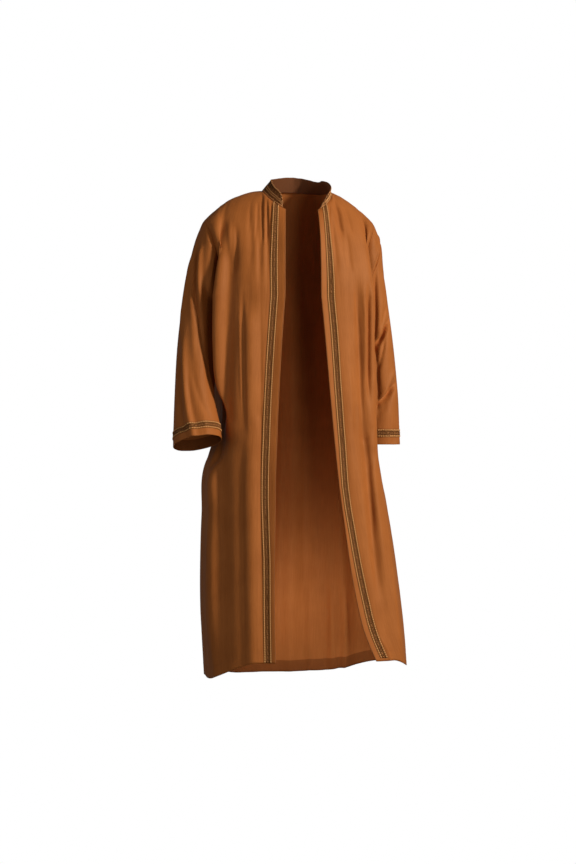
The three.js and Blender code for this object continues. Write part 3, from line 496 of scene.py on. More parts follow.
def measured_rows(side_name, is_back, lengths_of):
    """Rows of points, and their lengths from the row's start. lengths_of gives the lengths from each row's
    whole length, and the first row's length to the neck point and whole length."""
    u = np.linspace(0, 1, CURVE_SAMPLES + 1)
    run = length_along(body_point(side_name, is_back, u[None], ROWS[:, None]), axis=1)
    lengths = lengths_of(run[:, -1:], run[0, round(NECK_SHARE * CURVE_SAMPLES)], run[0, -1])
    shares = np.stack([np.interp(row, measure, u) for row, measure in zip(lengths, run)])
    return body_point(side_name, is_back, shares, ROWS[:, None]), lengths


def column_shares(neck, columns):
    return np.concatenate([steps(0, neck, columns["neck"]), steps(neck, 1, columns["shoulder"])])


def front_points(side_name):
    """A front's points. Its first columns follow the front edge, out to the far side of the braid."""
    margins = FRONT_MARGINS[side_name]
    margin = np.interp(ROWS, list(margins), list(margins.values()))[:, None]
    bare = np.minimum(MARGIN_COLUMNS, FRONT_MARGIN) / FRONT_MARGIN
    near = bare * margin + np.maximum(MARGIN_COLUMNS - FRONT_MARGIN, 0)
    far = near[:, -1:]

    def lengths_of(total, neck, first_total):
        shares = column_shares((neck - far[0, 0]) / (first_total - far[0, 0]), FRONT_COLUMNS)
        return np.concatenate([near, far + shares * (total - far)], 1)

    return measured_rows(side_name, False, lengths_of)


def half_back_points(side_name):
    def lengths_of(total, neck, first_total):
        return np.concatenate([[0], column_shares(neck / first_total, BACK_COLUMNS)]) * total

    return measured_rows(side_name, True, lengths_of)


# ---- grids of points: [row, column] ----

def grid_normals(points, facing, ring=False):
    down = np.gradient(points, axis=0)
    if ring:
        across = np.roll(points, -1, 1) - np.roll(points, 1, 1)
    else:
        across = np.gradient(points, axis=1)
    return unit(np.cross(across, down) * facing)


def press(points, depth, facing, ring=False):
    """Moves a grid's points along its normals."""
    return points + grid_normals(points, facing, ring) * depth[..., None]


def fold_depth(folds, place, drop):
    total = np.zeros_like(place)
    for fold in folds:
        share = np.clip((drop - fold["top_drop"]) / (fold["foot_drop"] - fold["top_drop"]), 0, 1)
        centre = mix(fold["top"], fold["foot"], share)
        grow = smooth(drop, fold["top_drop"], fold["top_drop"] + FOLD_FADE_TOP)
        die = 1 - smooth(drop, fold["foot_drop"] - FOLD_FADE_FOOT, fold["foot_drop"])
        total += fold["depth"] * grow * die * bell((place - centre) / fold["half"])
    return total


def crease_depth(creases, place, drop):
    total = np.zeros_like(place)
    for crease in creases:
        start = np.array([crease["from_x"], crease["from_drop"]], float)
        way = np.array([crease["to_x"], crease["to_drop"]], float) - start
        length = np.linalg.norm(way)
        way /= length
        share = ((place - start[0]) * way[0] + (drop - start[1]) * way[1]) / length
        off = (place - start[0]) * way[1] - (drop - start[1]) * way[0]
        off -= crease["bow"] * 4 * np.clip(share, 0, 1) * (1 - np.clip(share, 0, 1))
        wander = noise(share * CREASE_BENDS + crease["from_x"], share * 0 + crease["to_x"])
        off = (off - wander * crease["half"] * CREASE_WANDER) / crease["half"]
        off = np.where(off > 0, off * (1 + crease["lean"]), off * (1 - crease["lean"]))
        total += crease["depth"] * fading(share, CREASE_FADE) * bell(off)
    return total


def ripple_depth(across, down, seed):
    total = 0
    for i, ripple in enumerate(RIPPLES):
        a = across / ripple["across"] + seed + RIPPLE_SHIFTS[0] * i
        total = total + ripple["height"] * noise(a, down / ripple["down"] + RIPPLE_SHIFTS[1] * i)
    return total


def seam_fade(points, columns):
    """0 at side and armhole seams, 1 away from them."""
    away = [np.linalg.norm(points - points[:, [c]], axis=-1) for c in columns]
    return smooth(np.minimum.reduce(away), 0, SEAM_FADE)


def groove(distance):
    """The dip beside a seam."""
    return -SEAM_GROOVE * bell(distance / SEAM_GROOVE_WIDTH)


def side_groove(distance, v):
    """The dip at a side and armhole seam. It dies away towards the underarm, where body and sleeve turn from
    each other."""
    return groove(distance) * (1 - smooth(v, *GROOVE_FADES) * (1 - smooth(v, *GROOVE_RETURNS)))


def armhole_valley(side_name, distance, v, is_back):
    """A set-in sleeve's seam lies in a valley, below the shoulder. Body and sleeve move the same way there,
    so the seam stays closed."""
    depth = ARMHOLE_VALLEY[side_name] * bell(distance / ARMHOLE_VALLEY_WIDTH)
    depth = depth * smooth(v, *VALLEY_GROWS) * (1 - smooth(v, *VALLEY_DIES))
    sideways, inward = ARMHOLE_VALLEY_WAY
    way = [-sideways * SIDES[side_name]["sign"], np.where(is_back, -inward, inward), 0.0]
    return depth[..., None] * np.stack(np.broadcast_arrays(*way), axis=-1)


def hem_relief(rise, along):
    """A stitched hem: a dip along its stitches, and small puckers above and below them."""
    near = bell((rise - HEM_DEPTH) / PUCKER["reach"])
    pucker = PUCKER["height"] * near * noise(along / PUCKER["across"], rise / PUCKER["down"])
    return pucker - STITCH_DIP * bell((rise - HEM_DEPTH) / STITCH_DIP_WIDTH)


def shaped_front(side_name):
    """A front's points, their lengths across and down it, and which way its columns face."""
    sign = SIDES[side_name]["sign"]
    facing, v = -sign, ROWS[:, None]
    plain, lengths = front_points(side_name)
    place, drop = sign * plain[..., 0], -plain[..., 2]
    fade, on_face = seam_fade(plain, [-1]), smooth(-plain[..., 1], *FACE_FADE)
    points = press(plain, fold_depth(FOLDS[side_name], place, drop) * fade * on_face, facing)
    down = length_along(points, axis=0)
    rise = down[-1:] - down
    to_seam = length_along(points[:, ::-1], axis=1)[:, ::-1]
    ripples = ripple_depth(lengths, down, RIPPLE_SEEDS["front"] + sign) * smooth(lengths, 0, EDGE_CALM)
    ripples = ripples * (HEM_RIPPLE + (1 - HEM_RIPPLE) * smooth(rise, 0, HEM_CALM))
    depth = (crease_depth(CREASES[side_name], place, drop) * on_face + ripples) * fade
    depth += hem_relief(rise, lengths) * smooth(lengths, *HEM_FROM)
    depth += side_groove(to_seam, v)
    depth += EDGE_FLARE * (1 - smooth(lengths, 0, EDGE_FLARE_WIDTH)) * smooth(down, 0, EDGE_FLARE_DROP)
    depth += groove(down) * smooth(lengths, *NECK_SEAM_FROM)  # neck and shoulder seam
    depth += FACING_LAYER * (1 - smooth(lengths, *FACING_ENDS)) * smooth(lengths, *FACING_FROM)
    valley = armhole_valley(side_name, to_seam, v, False)
    return press(points, depth, facing) + valley, lengths, down, facing


def shaped_back():
    """The same for the back, whose lengths across are measured from its middle."""
    right, right_lengths = half_back_points("right")
    left, left_lengths = half_back_points("left")
    plain = np.concatenate([right[:, :0:-1], left], axis=1)
    lengths = np.concatenate([-right_lengths[:, :0:-1], left_lengths], axis=1)
    fade, facing, v = seam_fade(plain, [0, -1]), 1, ROWS[:, None]
    place, drop = plain[..., 0], -plain[..., 2]
    points = press(plain, fold_depth(FOLDS["back"], place, drop) * fade, facing)
    down = length_along(points, axis=0)
    ripples = ripple_depth(lengths, down, RIPPLE_SEEDS["back"])
    depth = (crease_depth(CREASES["back"], place, drop) + ripples) * fade
    depth += hem_relief(down[-1:] - down, lengths)
    to_seams = {"right": length_along(points, axis=1), "left": length_along(points[:, ::-1], axis=1)[:, ::-1]}
    valleys = 0
    for name, to_seam in to_seams.items():
        depth += side_groove(to_seam, v)
        valleys = valleys + armhole_valley(name, to_seam, v, True)
    depth += groove(down)
    return press(points, depth, facing) + valleys, lengths, down, facing


# ---- sleeves ----

def middle_and_half(a, b):
    return (a + b) / 2, (a - b) / 2


def sleeve_section(side, station, share, is_back):
    angle = mix(np.pi * share, np.arccos(1 - 2 * armhole_down(share)), station["skew"])
    ahead, depth = np.cos(angle), (1 if is_back else -1) * np.sin(angle)
    middle, half = middle_and_half(station["outer"], station["inner"])
    drop, half_drop = middle_and_half(station["outer_drop"], station["inner_drop"])
    return points_of(
        side["sign"] * (middle + ahead * half),
        station["middle_y"] + depth * station["half_depth"],
        -drop - ahead * half_drop - depth * station["tilt"],
    )


def sleeve_depth(folds, place, angle):
    total = np.zeros(np.broadcast(place, angle).shape)
    for fold in folds:
        share = (place - fold["start"]) / (fold["end"] - fold["start"])
        centre = mix(fold["start_angle"], fold["end_angle"], np.clip(share, 0, 1))
        strength = fading(share, SLEEVE_FOLD_FADE)
        total = total + fold["depth"] * strength * bell((angle - centre) / fold["half"])
    return total


def shaped_sleeve(side_name):
    """Rings that start on the armhole: down its front, then up its back. The last value is each ring's place
    along the stations."""
    side, stations = SIDES[side_name], SLEEVES[side_name]
    facing = side["sign"]
    down_front = np.linspace(0, 1, RING_POINTS + 1)
    shares = np.concatenate([down_front, down_front[-2:0:-1]])
    is_back = np.arange(len(shares)) > RING_POINTS
    halves = lambda half: np.where(is_back[:, None], half(True), half(False))
    rings = [halves(lambda back: body_point(side_name, back, 1, shares))]
    rings += [halves(lambda back: sleeve_section(side, station, shares, back)) for station in stations]
    places = np.concatenate([[0]] + [steps(i, i + 1, count) for i, count in enumerate(SLEEVE_STEPS)])
    at = np.broadcast_to(places[:, None, None], (len(places), len(shares), 3))
    plain = through(range(len(rings)), [ring[None] for ring in rings], at)
    angle = np.degrees(np.pi * shares)
    angle = np.where(is_back, 360 - angle, angle)[None]
    place = places[:, None]
    points = press(plain, sleeve_depth(SLEEVE_FOLDS[side_name], place, angle), facing, ring=True)
    down, around = length_along(points, axis=0), length_along(points, axis=1)
    closing = np.minimum(around, around[:, -1:] - around)
    ripples = ripple_depth(around, down, RIPPLE_SEEDS["sleeve"] + facing)
    depth = sleeve_depth(SLEEVE_CREASES[side_name], place, angle)
    depth = depth + ripples * smooth(closing, 0, SLEEVE_CALM) * smooth(down, 0, ARMHOLE_CALM)
    depth = depth + side_groove(down, shares[None])
    depth = depth + hem_relief(down[-1:] - down - CUFF_STITCH_RISE, around) * CUFF_RELIEF
    valley = armhole_valley(side_name, down, shares[None], is_back[None])
    return press(points, depth, facing, ring=True) + valley, around, down, facing, places


# ---- collar ----

def collar_grid(front_right, front_left, back, right_lengths):
    """The collar stands on the neck seam, from the right front round the back to the left front."""
    first = int(np.argmin(np.abs(right_lengths[0] - FRONT_MARGIN / 2)))
    neck_point = len(MARGIN_COLUMNS) - 1 + FRONT_COLUMNS["neck"]
    middle, reach = (back.shape[1] - 1) // 2, BACK_COLUMNS["neck"]
    right_part = front_right[0, first : neck_point + 1]
    left_part = front_left[0, first : neck_point + 1][::-1]
    base = np.concatenate([right_part, back[0, middle - reach + 1 : middle + reach], left_part])
    along = length_along(base)
    total = along[-1]
    from_end = np.minimum(along, total - along)
    bend = np.clip(1 - from_end / COLLAR_END_RADIUS, 0, 1)
    height = COLLAR_HEIGHT * np.maximum(COLLAR_LOWEST_END, np.sqrt(1 - bend * bend))
    leans = {
        name: column(rows + [dict(along=total / 2, lean=BACK_LEAN)], "lean", from_end, "along")
        for name, rows in COLLAR_LEANS.items()
    }
    lean = np.radians(np.where(along < total / 2, leans["right"], leans["left"]))
    way = np.gradient(base, axis=0)
    way[:, 2] = 0
    way = unit(way)
    inward = np.stack([way[:, 1], -way[:, 0], 0 * lean], axis=1)
    up = height[None, :, None] * np.linspace(1, 0, COLLAR_ROWS + 1)[:, None, None]
    rise = up * np.cos(lean)[None, :, None] * np.array([0, 0, 1.0])
    return base[None] + inward[None] * up * np.sin(lean)[None, :, None] + rise, along, height


# ---- meshes ----

materials = {}


def add_mesh(name, points, faces, slots=None, uv=None, surfaces=()):
    """A smooth mesh object from points in millimetres."""
    mesh = bpy.data.meshes.new(name)
    mesh.from_pydata((np.asarray(points) * METRES).tolist(), [], np.asarray(faces).tolist())
    for surface in surfaces:
        mesh.materials.append(materials[surface])
    if slots is not None:
        mesh.polygons.foreach_set("material_index", np.asarray(slots, dtype=np.int32))
    if uv is not None:
        layer = mesh.uv_layers.new(name="cloth")
        corner = np.zeros(len(mesh.loops), dtype=np.int32)
        mesh.loops.foreach_get("vertex_index", corner)
        layer.data.foreach_set("uv", (np.asarray(uv)[corner] * METRES).ravel().astype(np.float32))
    mesh.polygons.foreach_set("use_smooth", np.full(len(mesh.polygons), True))
    mesh.update()
    obj = bpy.data.objects.new(name, mesh)
    bpy.context.scene.collection.objects.link(obj)
    return obj


def shell_faces(rows, columns, ring, facing):
    """Quads of a closed shell: layer 0 inside, layer 1 outside, and the rims between them. The second value
    marks each quad: 0 outside, 1 inside, 2 rim; the third is its row."""
    wide = columns if ring else columns - 1
    r, c = (grid.ravel() for grid in np.meshgrid(np.arange(rows - 1), np.arange(wide), indexing="ij"))
    at = lambda layer, row, col: layer * rows * columns + row * columns + col % columns
    outer = np.stack([at(1, r, c), at(1, r, c + 1), at(1, r + 1, c + 1), at(1, r + 1, c)], 1)
    inner = np.stack([at(0, r, c), at(0, r + 1, c), at(0, r + 1, c + 1), at(0, r, c + 1)], 1)
    e, last = np.arange(wide), rows - 1
    rims = [
        np.stack([at(0, 0, e), at(0, 0, e + 1), at(1, 0, e + 1), at(1, 0, e)], 1),
        np.stack([at(0, last, e), at(1, last, e), at(1, last, e + 1), at(0, last, e + 1)], 1),
    ]
    if not ring:
        f, end = np.arange(rows - 1), columns - 1
        rims += [
            np.stack([at(0, f, 0), at(1, f, 0), at(1, f + 1, 0), at(0, f + 1, 0)], 1),
            np.stack([at(0, f, end), at(0, f + 1, end), at(1, f + 1, end), at(1, f, end)], 1),
        ]
    faces, rim_count = np.concatenate([outer, inner] + rims), sum(map(len, rims))
    kinds = np.repeat([0, 1, 2], [len(outer), len(inner), rim_count])
    row = np.concatenate([r, r, np.zeros(rim_count, int)])
    return faces[:, ::-1] if facing < 0 else faces, kinds, row


def tube_faces(rings, sides):
    """Quads between rings of points."""
    r, c = (grid.ravel() for grid in np.meshgrid(np.arange(rings - 1), np.arange(sides), indexing="ij"))
    n = (c + 1) % sides
    return np.stack([r * sides + c, r * sides + n, (r + 1) * sides + n, (r + 1) * sides + c], 1)


def cloth_piece(name, points, across, down, facing, ring=False):
    """A thin shell with its hem turned up on the inside."""
    normals = grid_normals(points, facing, ring)
    rows, columns = points.shape[:2]
    rise = down[-1:] - down
    hem = smooth(-rise, -HEM_DEPTH - 0.5, -HEM_DEPTH + 0.5)
    inside = points - normals * (CLOTH / 2 + HEM_LAYER * hem[..., None])
    outside = points + normals * CLOTH / 2
    faces, kinds, row = shell_faces(rows, columns, ring, facing)
    # Inside faces get the lighter cloth, which is painted light; inside the hem they get the darker cloth,
    # which is painted shade.
    in_hem_painted_shade = rise[:, columns // 2][np.minimum(row + 1, rows - 1)] < HEM_DEPTH
    uv = np.stack([np.broadcast_to(across, down.shape), -down], axis=-1).reshape(-1, 2)
    return add_mesh(
        name,
        np.concatenate([inside.reshape(-1, 3), outside.reshape(-1, 3)]),
        faces,
        np.where(kinds == 1, np.where(in_hem_painted_shade, 2, 1), 0),
        np.concatenate([uv, uv]),
        ["cloth", "cloth_inside", "cloth_hem"],
    )


# ---- trim: laid on a patch of cloth, by the length along it and the distance across it ----

class Patch:
    """Part of a cloth's outer surface, as points [along, across]."""

    def __init__(self, points, normals, across, facing):
        self.points = points + normals * CLOTH / 2
        self.normals = normals
        self.facing = facing
        self.across = np.asarray(across, float)
        self.along = length_along(self.points[:, self.points.shape[1] // 2])
        self.length = self.along[-1]

    def at(self, along, across, lift=0.0):
        """Points above the cloth, and the cloth's normals there."""
        along, across = np.broadcast_arrays(np.asarray(along, float), np.asarray(across, float))
        i = np.interp(along, self.along, np.arange(len(self.along)))
        j = np.interp(across, self.across, np.arange(len(self.across)))
        low_i = np.clip(np.floor(i).astype(int), 0, len(self.along) - 2)
        low_j = np.clip(np.floor(j).astype(int), 0, len(self.across) - 2)
        s, t = (i - low_i)[..., None], (j - low_j)[..., None]
        blend = lambda grid: mix(
            mix(grid[low_i, low_j], grid[low_i + 1, low_j], s),
            mix(grid[low_i, low_j + 1], grid[low_i + 1, low_j + 1], s),
            t,
        )
        normal = unit(blend(self.normals))
        return blend(self.points) + normal * np.asarray(lift, float)[..., None], normal


class Trim:
    """Gathers the parts of one trim into one mesh. A slot is a place in its list of materials."""

    def __init__(self):
        self.points, self.faces, self.slots, self.uv, self.count = [], [], [], [], 0

    def add(self, points, faces, slot, uv=None):
        points = np.asarray(points).reshape(-1, 3)
        faces = np.asarray(faces).reshape(-1, 4)
        self.points.append(points)
        self.faces.append(faces + self.count)
        self.slots.append(np.full(len(faces), slot))
        self.uv.append(np.zeros((len(points), 2)) if uv is None else np.asarray(uv).reshape(-1, 2))
        self.count += len(points)

    def mesh(self, name, surfaces):
        parts = [np.concatenate(part) for part in (self.points, self.faces, self.slots, self.uv)]
        return add_mesh(name, *parts, surfaces)


def ribbon(trim, patch, low, high, thickness, slot, lift=0.0):
    """A flat strip on the cloth, between two distances across it."""
    along = np.linspace(0, patch.length, max(2, round(patch.length / RIBBON_STEPS[0])) + 1)
    across = np.linspace(low, high, max(1, round((high - low) / RIBBON_STEPS[1])) + 1)
    a, c = np.meshgrid(along, across, indexing="ij")
    layers = [patch.at(a, c, height)[0].reshape(-1, 3) for height in (lift, lift + thickness)]
    faces, _, _ = shell_faces(len(along), len(across), False, patch.facing)
    uv = np.stack([c, a], axis=-1).reshape(-1, 2)
    trim.add(np.concatenate(layers), faces, slot, np.concatenate([uv, uv]))


def cord(trim, patch, along, across, radius, slot, lift):
    """A raised yarn that follows a path on the cloth."""
    centre, normal = patch.at(along, across + 0 * along, lift)
    beside = np.cross(normal, unit(np.gradient(centre, axis=0)))
    angle = np.arange(CORD_SIDES) / CORD_SIDES * 2 * np.pi
    ring = (
        centre[:, None]
        + radius * np.cos(angle)[None, :, None] * beside[:, None]
        + radius * np.sin(angle)[None, :, None] * normal[:, None]
    )
    trim.add(ring, tube_faces(len(centre), CORD_SIDES), slot)


def beads(trim, patch, along, across, size, slot, turn=0.0, lift=YARN_LIFT, sides=8, rings=5):
    """Small raised lumps of yarn on the cloth, each turned from the way along it. A size is a length, a width
    and a height."""
    length, width, height = size
    along, across = np.broadcast_arrays(np.asarray(along, float), np.asarray(across, float))
    centre, normal = patch.at(along, across, lift)
    way = unit(patch.at(along + 0.5, across, lift)[0] - patch.at(along - 0.5, across, lift)[0])
    beside = np.cross(normal, way)
    turn = np.broadcast_to(np.asarray(turn, float), along.shape)[:, None]
    way, beside = way * np.cos(turn) + beside * np.sin(turn), beside * np.cos(turn) - way * np.sin(turn)
    tilt, spin = np.linspace(-np.pi / 2, np.pi / 2, rings), np.arange(sides) / sides * 2 * np.pi
    tilt, spin = np.meshgrid(tilt, spin, indexing="ij")
    round_it = np.cos(tilt)
    shape = [np.sin(tilt) * length / 2, round_it * np.cos(spin) * width / 2, round_it * np.sin(spin) * height]
    shape = np.stack(shape, axis=-1).reshape(-1, 3)
    axes = np.stack([way, beside, normal], axis=1)
    points = centre[:, None] + np.einsum("kc,ncd->nkd", shape, axes)
    faces = tube_faces(rings, sides)[None] + (np.arange(len(points)) * sides * rings)[:, None, None]
    trim.add(points, faces, slot)


def braid(trim, patch, low, high):
    """A woven gold braid: a rope of gold beads along each side, with scrolls, dots and checks between."""
    middle, half = (low + high) / 2, (high - low) / 2
    ribbon(trim, patch, low, high, GROUND_HEIGHT, GROUND)
    count = max(4, round(patch.length / BEAD_PITCH))
    along = (np.arange(count) + 0.5) * patch.length / count
    for side in (-1, 1):
        rope = middle + side * (half - ROPE_INSET)
        ribbon(trim, patch, rope - ROPE_HALF, rope + ROPE_HALF, ROPE_HEIGHT, ROPE, YARN_LIFT)
        beads(trim, patch, along, rope, ROPE_BEAD, GOLD, side * ROPE_TWIST, BEAD_LIFT)
        for outwards, radius, slot, lift in ROPE_YARNS:
            cord(trim, patch, along, rope + side * outwards, radius, slot, lift)
        beads(trim, patch, along + BEAD_PITCH / 2, rope - side * DOTS_INSET, DOT, LEAF)
    scrolls(trim, patch, middle, min(SCROLL_REACH, half - SCROLL_INSET))


def scrolls(trim, patch, middle, reach):
    """Two yarns that meet at knots, with a petal and two dots in each loop, and stretches of checks."""
    leaves = max(1, round(patch.length / SCROLL_PITCH))
    pitch = patch.length / leaves
    along = np.linspace(0, patch.length, max(8, round(patch.length / SCROLL_STEP)))
    wave = np.abs(np.sin(along / pitch * np.pi))
    for side in (-1, 1):
        cord(trim, patch, along, middle + side * reach * wave, *SCROLL_YARN)
    centres = (np.arange(leaves) + 0.5) * pitch
    checked = (centres % CHECK_EVERY) < CHECK_LENGTH
    petals, squares = centres[~checked], centres[checked]
    petal = (pitch * PETAL_SHARES[0], reach * PETAL_SHARES[1], PETAL_HEIGHT)
    beads(trim, patch, petals, middle, petal, LEAF, PETAL_TURN)
    for step in PETAL_DOTS:
        beads(trim, patch, petals + step * pitch, middle, PETAL_DOT, GOLD)
    knots = np.arange(1, leaves) * pitch
    if len(knots):
        for side in (-1, 1):
            beads(trim, patch, knots, middle + side * reach * KNOT_REACH, KNOT, LEAF, side * KNOT_TURN)
    if len(squares):
        for step in range(-4, 5):
            for row in (0,) if step % 2 == 0 else (-1, 1):
                across = middle + row * reach * CHECK_REACH
                beads(trim, patch, squares + step * CHECK_PITCH, across, CHECK, LEAF)


def stitches(trim, patch, across, pitch):
    """A row of stitches along a patch."""
    along = np.arange(STITCH_START, patch.length - STITCH_START, pitch)
    beads(trim, patch, along, across, STITCH, 0, lift=0.0, sides=5, rings=4)


def hem_patch(points, down, facing):
    """The band of cloth beside a hem, along the hem and up from it."""
    normals = grid_normals(points, facing)
    rise = down[-1:] - down
    start = int(np.argmax(rise.max(axis=1) < HEM_BAND))
    flip = lambda grid: np.swapaxes(grid[start:][::-1], 0, 1)
    across = rise[start:, points.shape[1] // 2][::-1]
    return Patch(flip(points), flip(normals), across, -facing)


def edge_patch(points, lengths, down, facing, low, high, top_margin, foot_margin):
    """The cloth beside a front edge, from near the neck to near the hem."""
    last = len(MARGIN_COLUMNS)
    across = np.concatenate([MARGIN_COLUMNS, lengths[0, last:] - lengths[0, last - 1] + MARGIN])
    columns = np.flatnonzero((across >= low - MARGIN_STEP * 1.2) & (across <= high + MARGIN_STEP * 1.2))
    run = down[:, columns[len(columns) // 2]]
    fine = np.arange(0, run[-1], EDGE_PATCH_STEP)
    fine = fine[(fine >= top_margin) & (fine <= run[-1] - foot_margin)]
    fine = np.concatenate([[top_margin], fine[1:-1], [run[-1] - foot_margin]])
    rows = np.interp(fine, run, np.arange(len(run)))
    lower = np.clip(np.floor(rows).astype(int), 0, len(run) - 2)
    t = (rows - lower)[:, None, None]
    pick = lambda grid: mix(grid[lower][:, columns], grid[lower + 1][:, columns], t)
    return Patch(pick(points), pick(grid_normals(points, facing)), across[columns], facing)


# ---- materials ----

CLOTHS = table(
    "name base darker roughness sheen",
    ("cloth", (0.46, 0.142, 0.031), (0.36, 0.105, 0.021), 0.52, 0.05),
    # The inside cloth is lighter than the outside: painted light that stands in for light shining through the
    # thin cloth.
    ("cloth_inside", (0.52, 0.165, 0.040), (0.42, 0.128, 0.028), 0.65, 0.04),
    # The hem's inside is darker: painted shade where the turned-up double layer lets less light through.
    ("cloth_hem", (0.31, 0.092, 0.022), (0.26, 0.074, 0.017), 0.65, 0.04),
    # The collar's cloth is darker than the robe's: painted shade for the shadowed inside of the collar.
    ("collar_cloth", (0.20, 0.07, 0.028), (0.16, 0.055, 0.02), 0.6, 0.1),
)
YARNS = table(
    "name base darker roughness metallic",
    ("braid_ground", (0.15, 0.048, 0.010), (0.06, 0.018, 0.004), 0.7, 0.0),
    ("braid_gold", (1.0, 0.50, 0.19), (0.68, 0.30, 0.10), 0.42, 0.25),
    ("braid_leaf", (0.50, 0.21, 0.065), (0.24, 0.09, 0.025), 0.5, 0.0),
    ("braid_dark", (0.06, 0.02, 0.006), None, 0.8, 0.0),
    ("braid_edge", (0.20, 0.07, 0.018), None, 0.7, 0.0),
    ("braid_rope", (0.38, 0.165, 0.045), None, 0.6, 0.0),
    ("thread", (0.30, 0.11, 0.04), None, 0.6, 0.0),
)
THREADS = 330.0  # a scale of 330 puts threads about 1 mm apart
GROUND_THREADS = 260.0
GROUND_CLOUDS, YARN_CLOUDS, CLOTH_CLOUDS = 200.0, 220.0, 9.0  # the scale of drifts of colour
SLUBS = (420, 16, 1)  # streaks of colour, narrow across the cloth and long down it


def new_material(name, base, roughness, metallic=0.0, sheen=0.0):
    material = bpy.data.materials.new(name)
    material.use_nodes = True
    shader = material.node_tree.nodes["Principled BSDF"]
    values = {
        "Base Color": (*base, 1), "Roughness": roughness, "Metallic": metallic, "Sheen Weight": sheen,
        "Sheen Roughness": 0.45, "Specular IOR Level": 0.2, "Specular Tint": (1.0, 0.74, 0.46, 1),
    }
    for key, value in values.items():
        shader.inputs[key].default_value = value
    materials[name] = material
    return material.node_tree, shader


def add_node(tree, kind, **settings):
    node = tree.nodes.new(kind)
    for key, value in settings.items():
        if key in node.inputs:
            node.inputs[key].default_value = value
        else:
            setattr(node, key, value)
    return node


def join(tree, *links):
    """Each link is a node and its output, then a node and its input."""
    for source, output, target, place in links:
        tree.links.new(source.outputs[output], target.inputs[place])


def two_tones(tree, shader, base, darker):
    """A mix of two tones as the base colour. Its factor is still to be joined."""
    tones = add_node(tree, "ShaderNodeMix", data_type="RGBA", A=(*darker, 1), B=(*base, 1))
    join(tree, (tones, "Result", shader, "Base Color"))
    return tones


def clouded_colour(tree, shader, base, darker, scale):
    """Colour that drifts slowly between two tones."""
    place = add_node(tree, "ShaderNodeTexCoord")
    cloud = add_node(tree, "ShaderNodeTexNoise", Scale=scale, Detail=4.0, Roughness=0.55)
    tones = two_tones(tree, shader, base, darker)
    join(tree, (place, "Object", cloud, "Vector"), (cloud, "Fac", tones, "Factor"))


def slubbed_colour(tree, shader, base, darker):
    """Two tones in long thin streaks down the cloth, and in slow clouds."""
    place = add_node(tree, "ShaderNodeTexCoord")
    stretch = add_node(tree, "ShaderNodeMapping", Scale=SLUBS)
    streak = add_node(tree, "ShaderNodeTexNoise", Scale=1.0, Detail=3.0, Roughness=0.6)
    cloud = add_node(tree, "ShaderNodeTexNoise", Scale=CLOTH_CLOUDS, Detail=4.0, Roughness=0.55)
    both = add_node(tree, "ShaderNodeMath", operation="ADD")
    spread = add_node(tree, "ShaderNodeMapRange", **{"From Min": 0.7, "From Max": 1.3})
    tones = two_tones(tree, shader, base, darker)
    join(
        tree,
        (place, "UV", stretch, "Vector"), (stretch, "Vector", streak, "Vector"),
        (place, "Object", cloud, "Vector"), (streak, "Fac", both, 0), (cloud, "Fac", both, 1),
        (both, "Value", spread, "Value"), (spread, "Result", tones, "Factor"),
    )


def weave(tree, shader, across_scale, strength):
    """Fine threads both ways, by the cloth's own measure."""
    place = add_node(tree, "ShaderNodeTexCoord")
    both = add_node(tree, "ShaderNodeMath", operation="MULTIPLY")
    bump = add_node(tree, "ShaderNodeBump", Strength=strength, Distance=0.0003)
    for socket, (direction, scale) in enumerate((("X", across_scale), ("Y", THREADS))):
        wave = add_node(tree, "ShaderNodeTexWave", bands_direction=direction, Scale=scale, Distortion=1.5)
        join(tree, (place, "UV", wave, "Vector"), (wave, "Fac", both, socket))
    join(tree, (both, "Value", bump, "Height"), (bump, "Normal", shader, "Normal"))


def make_materials():
    for cloth in CLOTHS:
        tree, shader = new_material(cloth["name"], cloth["base"], cloth["roughness"], sheen=cloth["sheen"])
        shader.inputs["Sheen Tint"].default_value = (1.0, 0.5, 0.2, 1)
        slubbed_colour(tree, shader, cloth["base"], cloth["darker"])
        weave(tree, shader, THREADS, 0.3)
    for yarn in YARNS:
        tree, shader = new_material(yarn["name"], yarn["base"], yarn["roughness"], yarn["metallic"])
        is_ground = yarn["name"] == "braid_ground"
        if yarn["darker"]:
            clouds = GROUND_CLOUDS if is_ground else YARN_CLOUDS
            clouded_colour(tree, shader, yarn["base"], yarn["darker"], clouds)
        if is_ground:
            weave(tree, shader, GROUND_THREADS, 0.6)
    _, shader = new_material("studio", (0, 0, 0), 1.0)
    shader.inputs["Specular IOR Level"].default_value = 0
    shader.inputs["Emission Color"].default_value = (1, 1, 1, 1)
    shader.inputs["Emission Strength"].default_value = 1.0


# ---- pieces ----

def body_piece(obj, stands_for=None):
    """Every piece is on the robe's one body, and most stand for a solid's node."""
    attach(obj, "root")
    if stands_for:
        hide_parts(stands_for)
    return obj


def make_front(side_name, points, lengths, down, facing):
    form = (points, lengths, down, facing)
    front = body_piece(cloth_piece("robe_front_" + side_name, *form), "front_" + side_name)
    trim, sewing = Trim(), Trim()
    under_braid = (FRONT_MARGIN, MARGIN, BRAID_NECK_MARGIN, BRAID_HEM_MARGINS[side_name])
    braid(trim, edge_patch(*form, *under_braid), FRONT_MARGIN, MARGIN)
    body_piece(trim.mesh("braid_front_" + side_name, BRAID_SLOTS), "front_braid_" + side_name)
    edge = edge_patch(*form, 0, FACING_ENDS[1], 3, 3)
    cord(sewing, edge, edge.along, *ROLLED_EDGE)
    for across in FRONT_STITCHES:
        stitches(sewing, edge, across, EDGE_STITCH_PITCH)
    stitches(sewing, hem_patch(points, down, facing), HEM_DEPTH, HEM_STITCH_PITCH)
    body_piece(sewing.mesh("sewing_" + side_name, ["thread"]))
    return front


def make_back(points, lengths, down, facing):
    back = body_piece(cloth_piece("robe_back", points, lengths, down, facing), "back")
    sewing = Trim()
    stitches(sewing, hem_patch(points, down, facing), HEM_DEPTH, HEM_STITCH_PITCH)
    body_piece(sewing.mesh("sewing_back", ["thread"]))
    return back


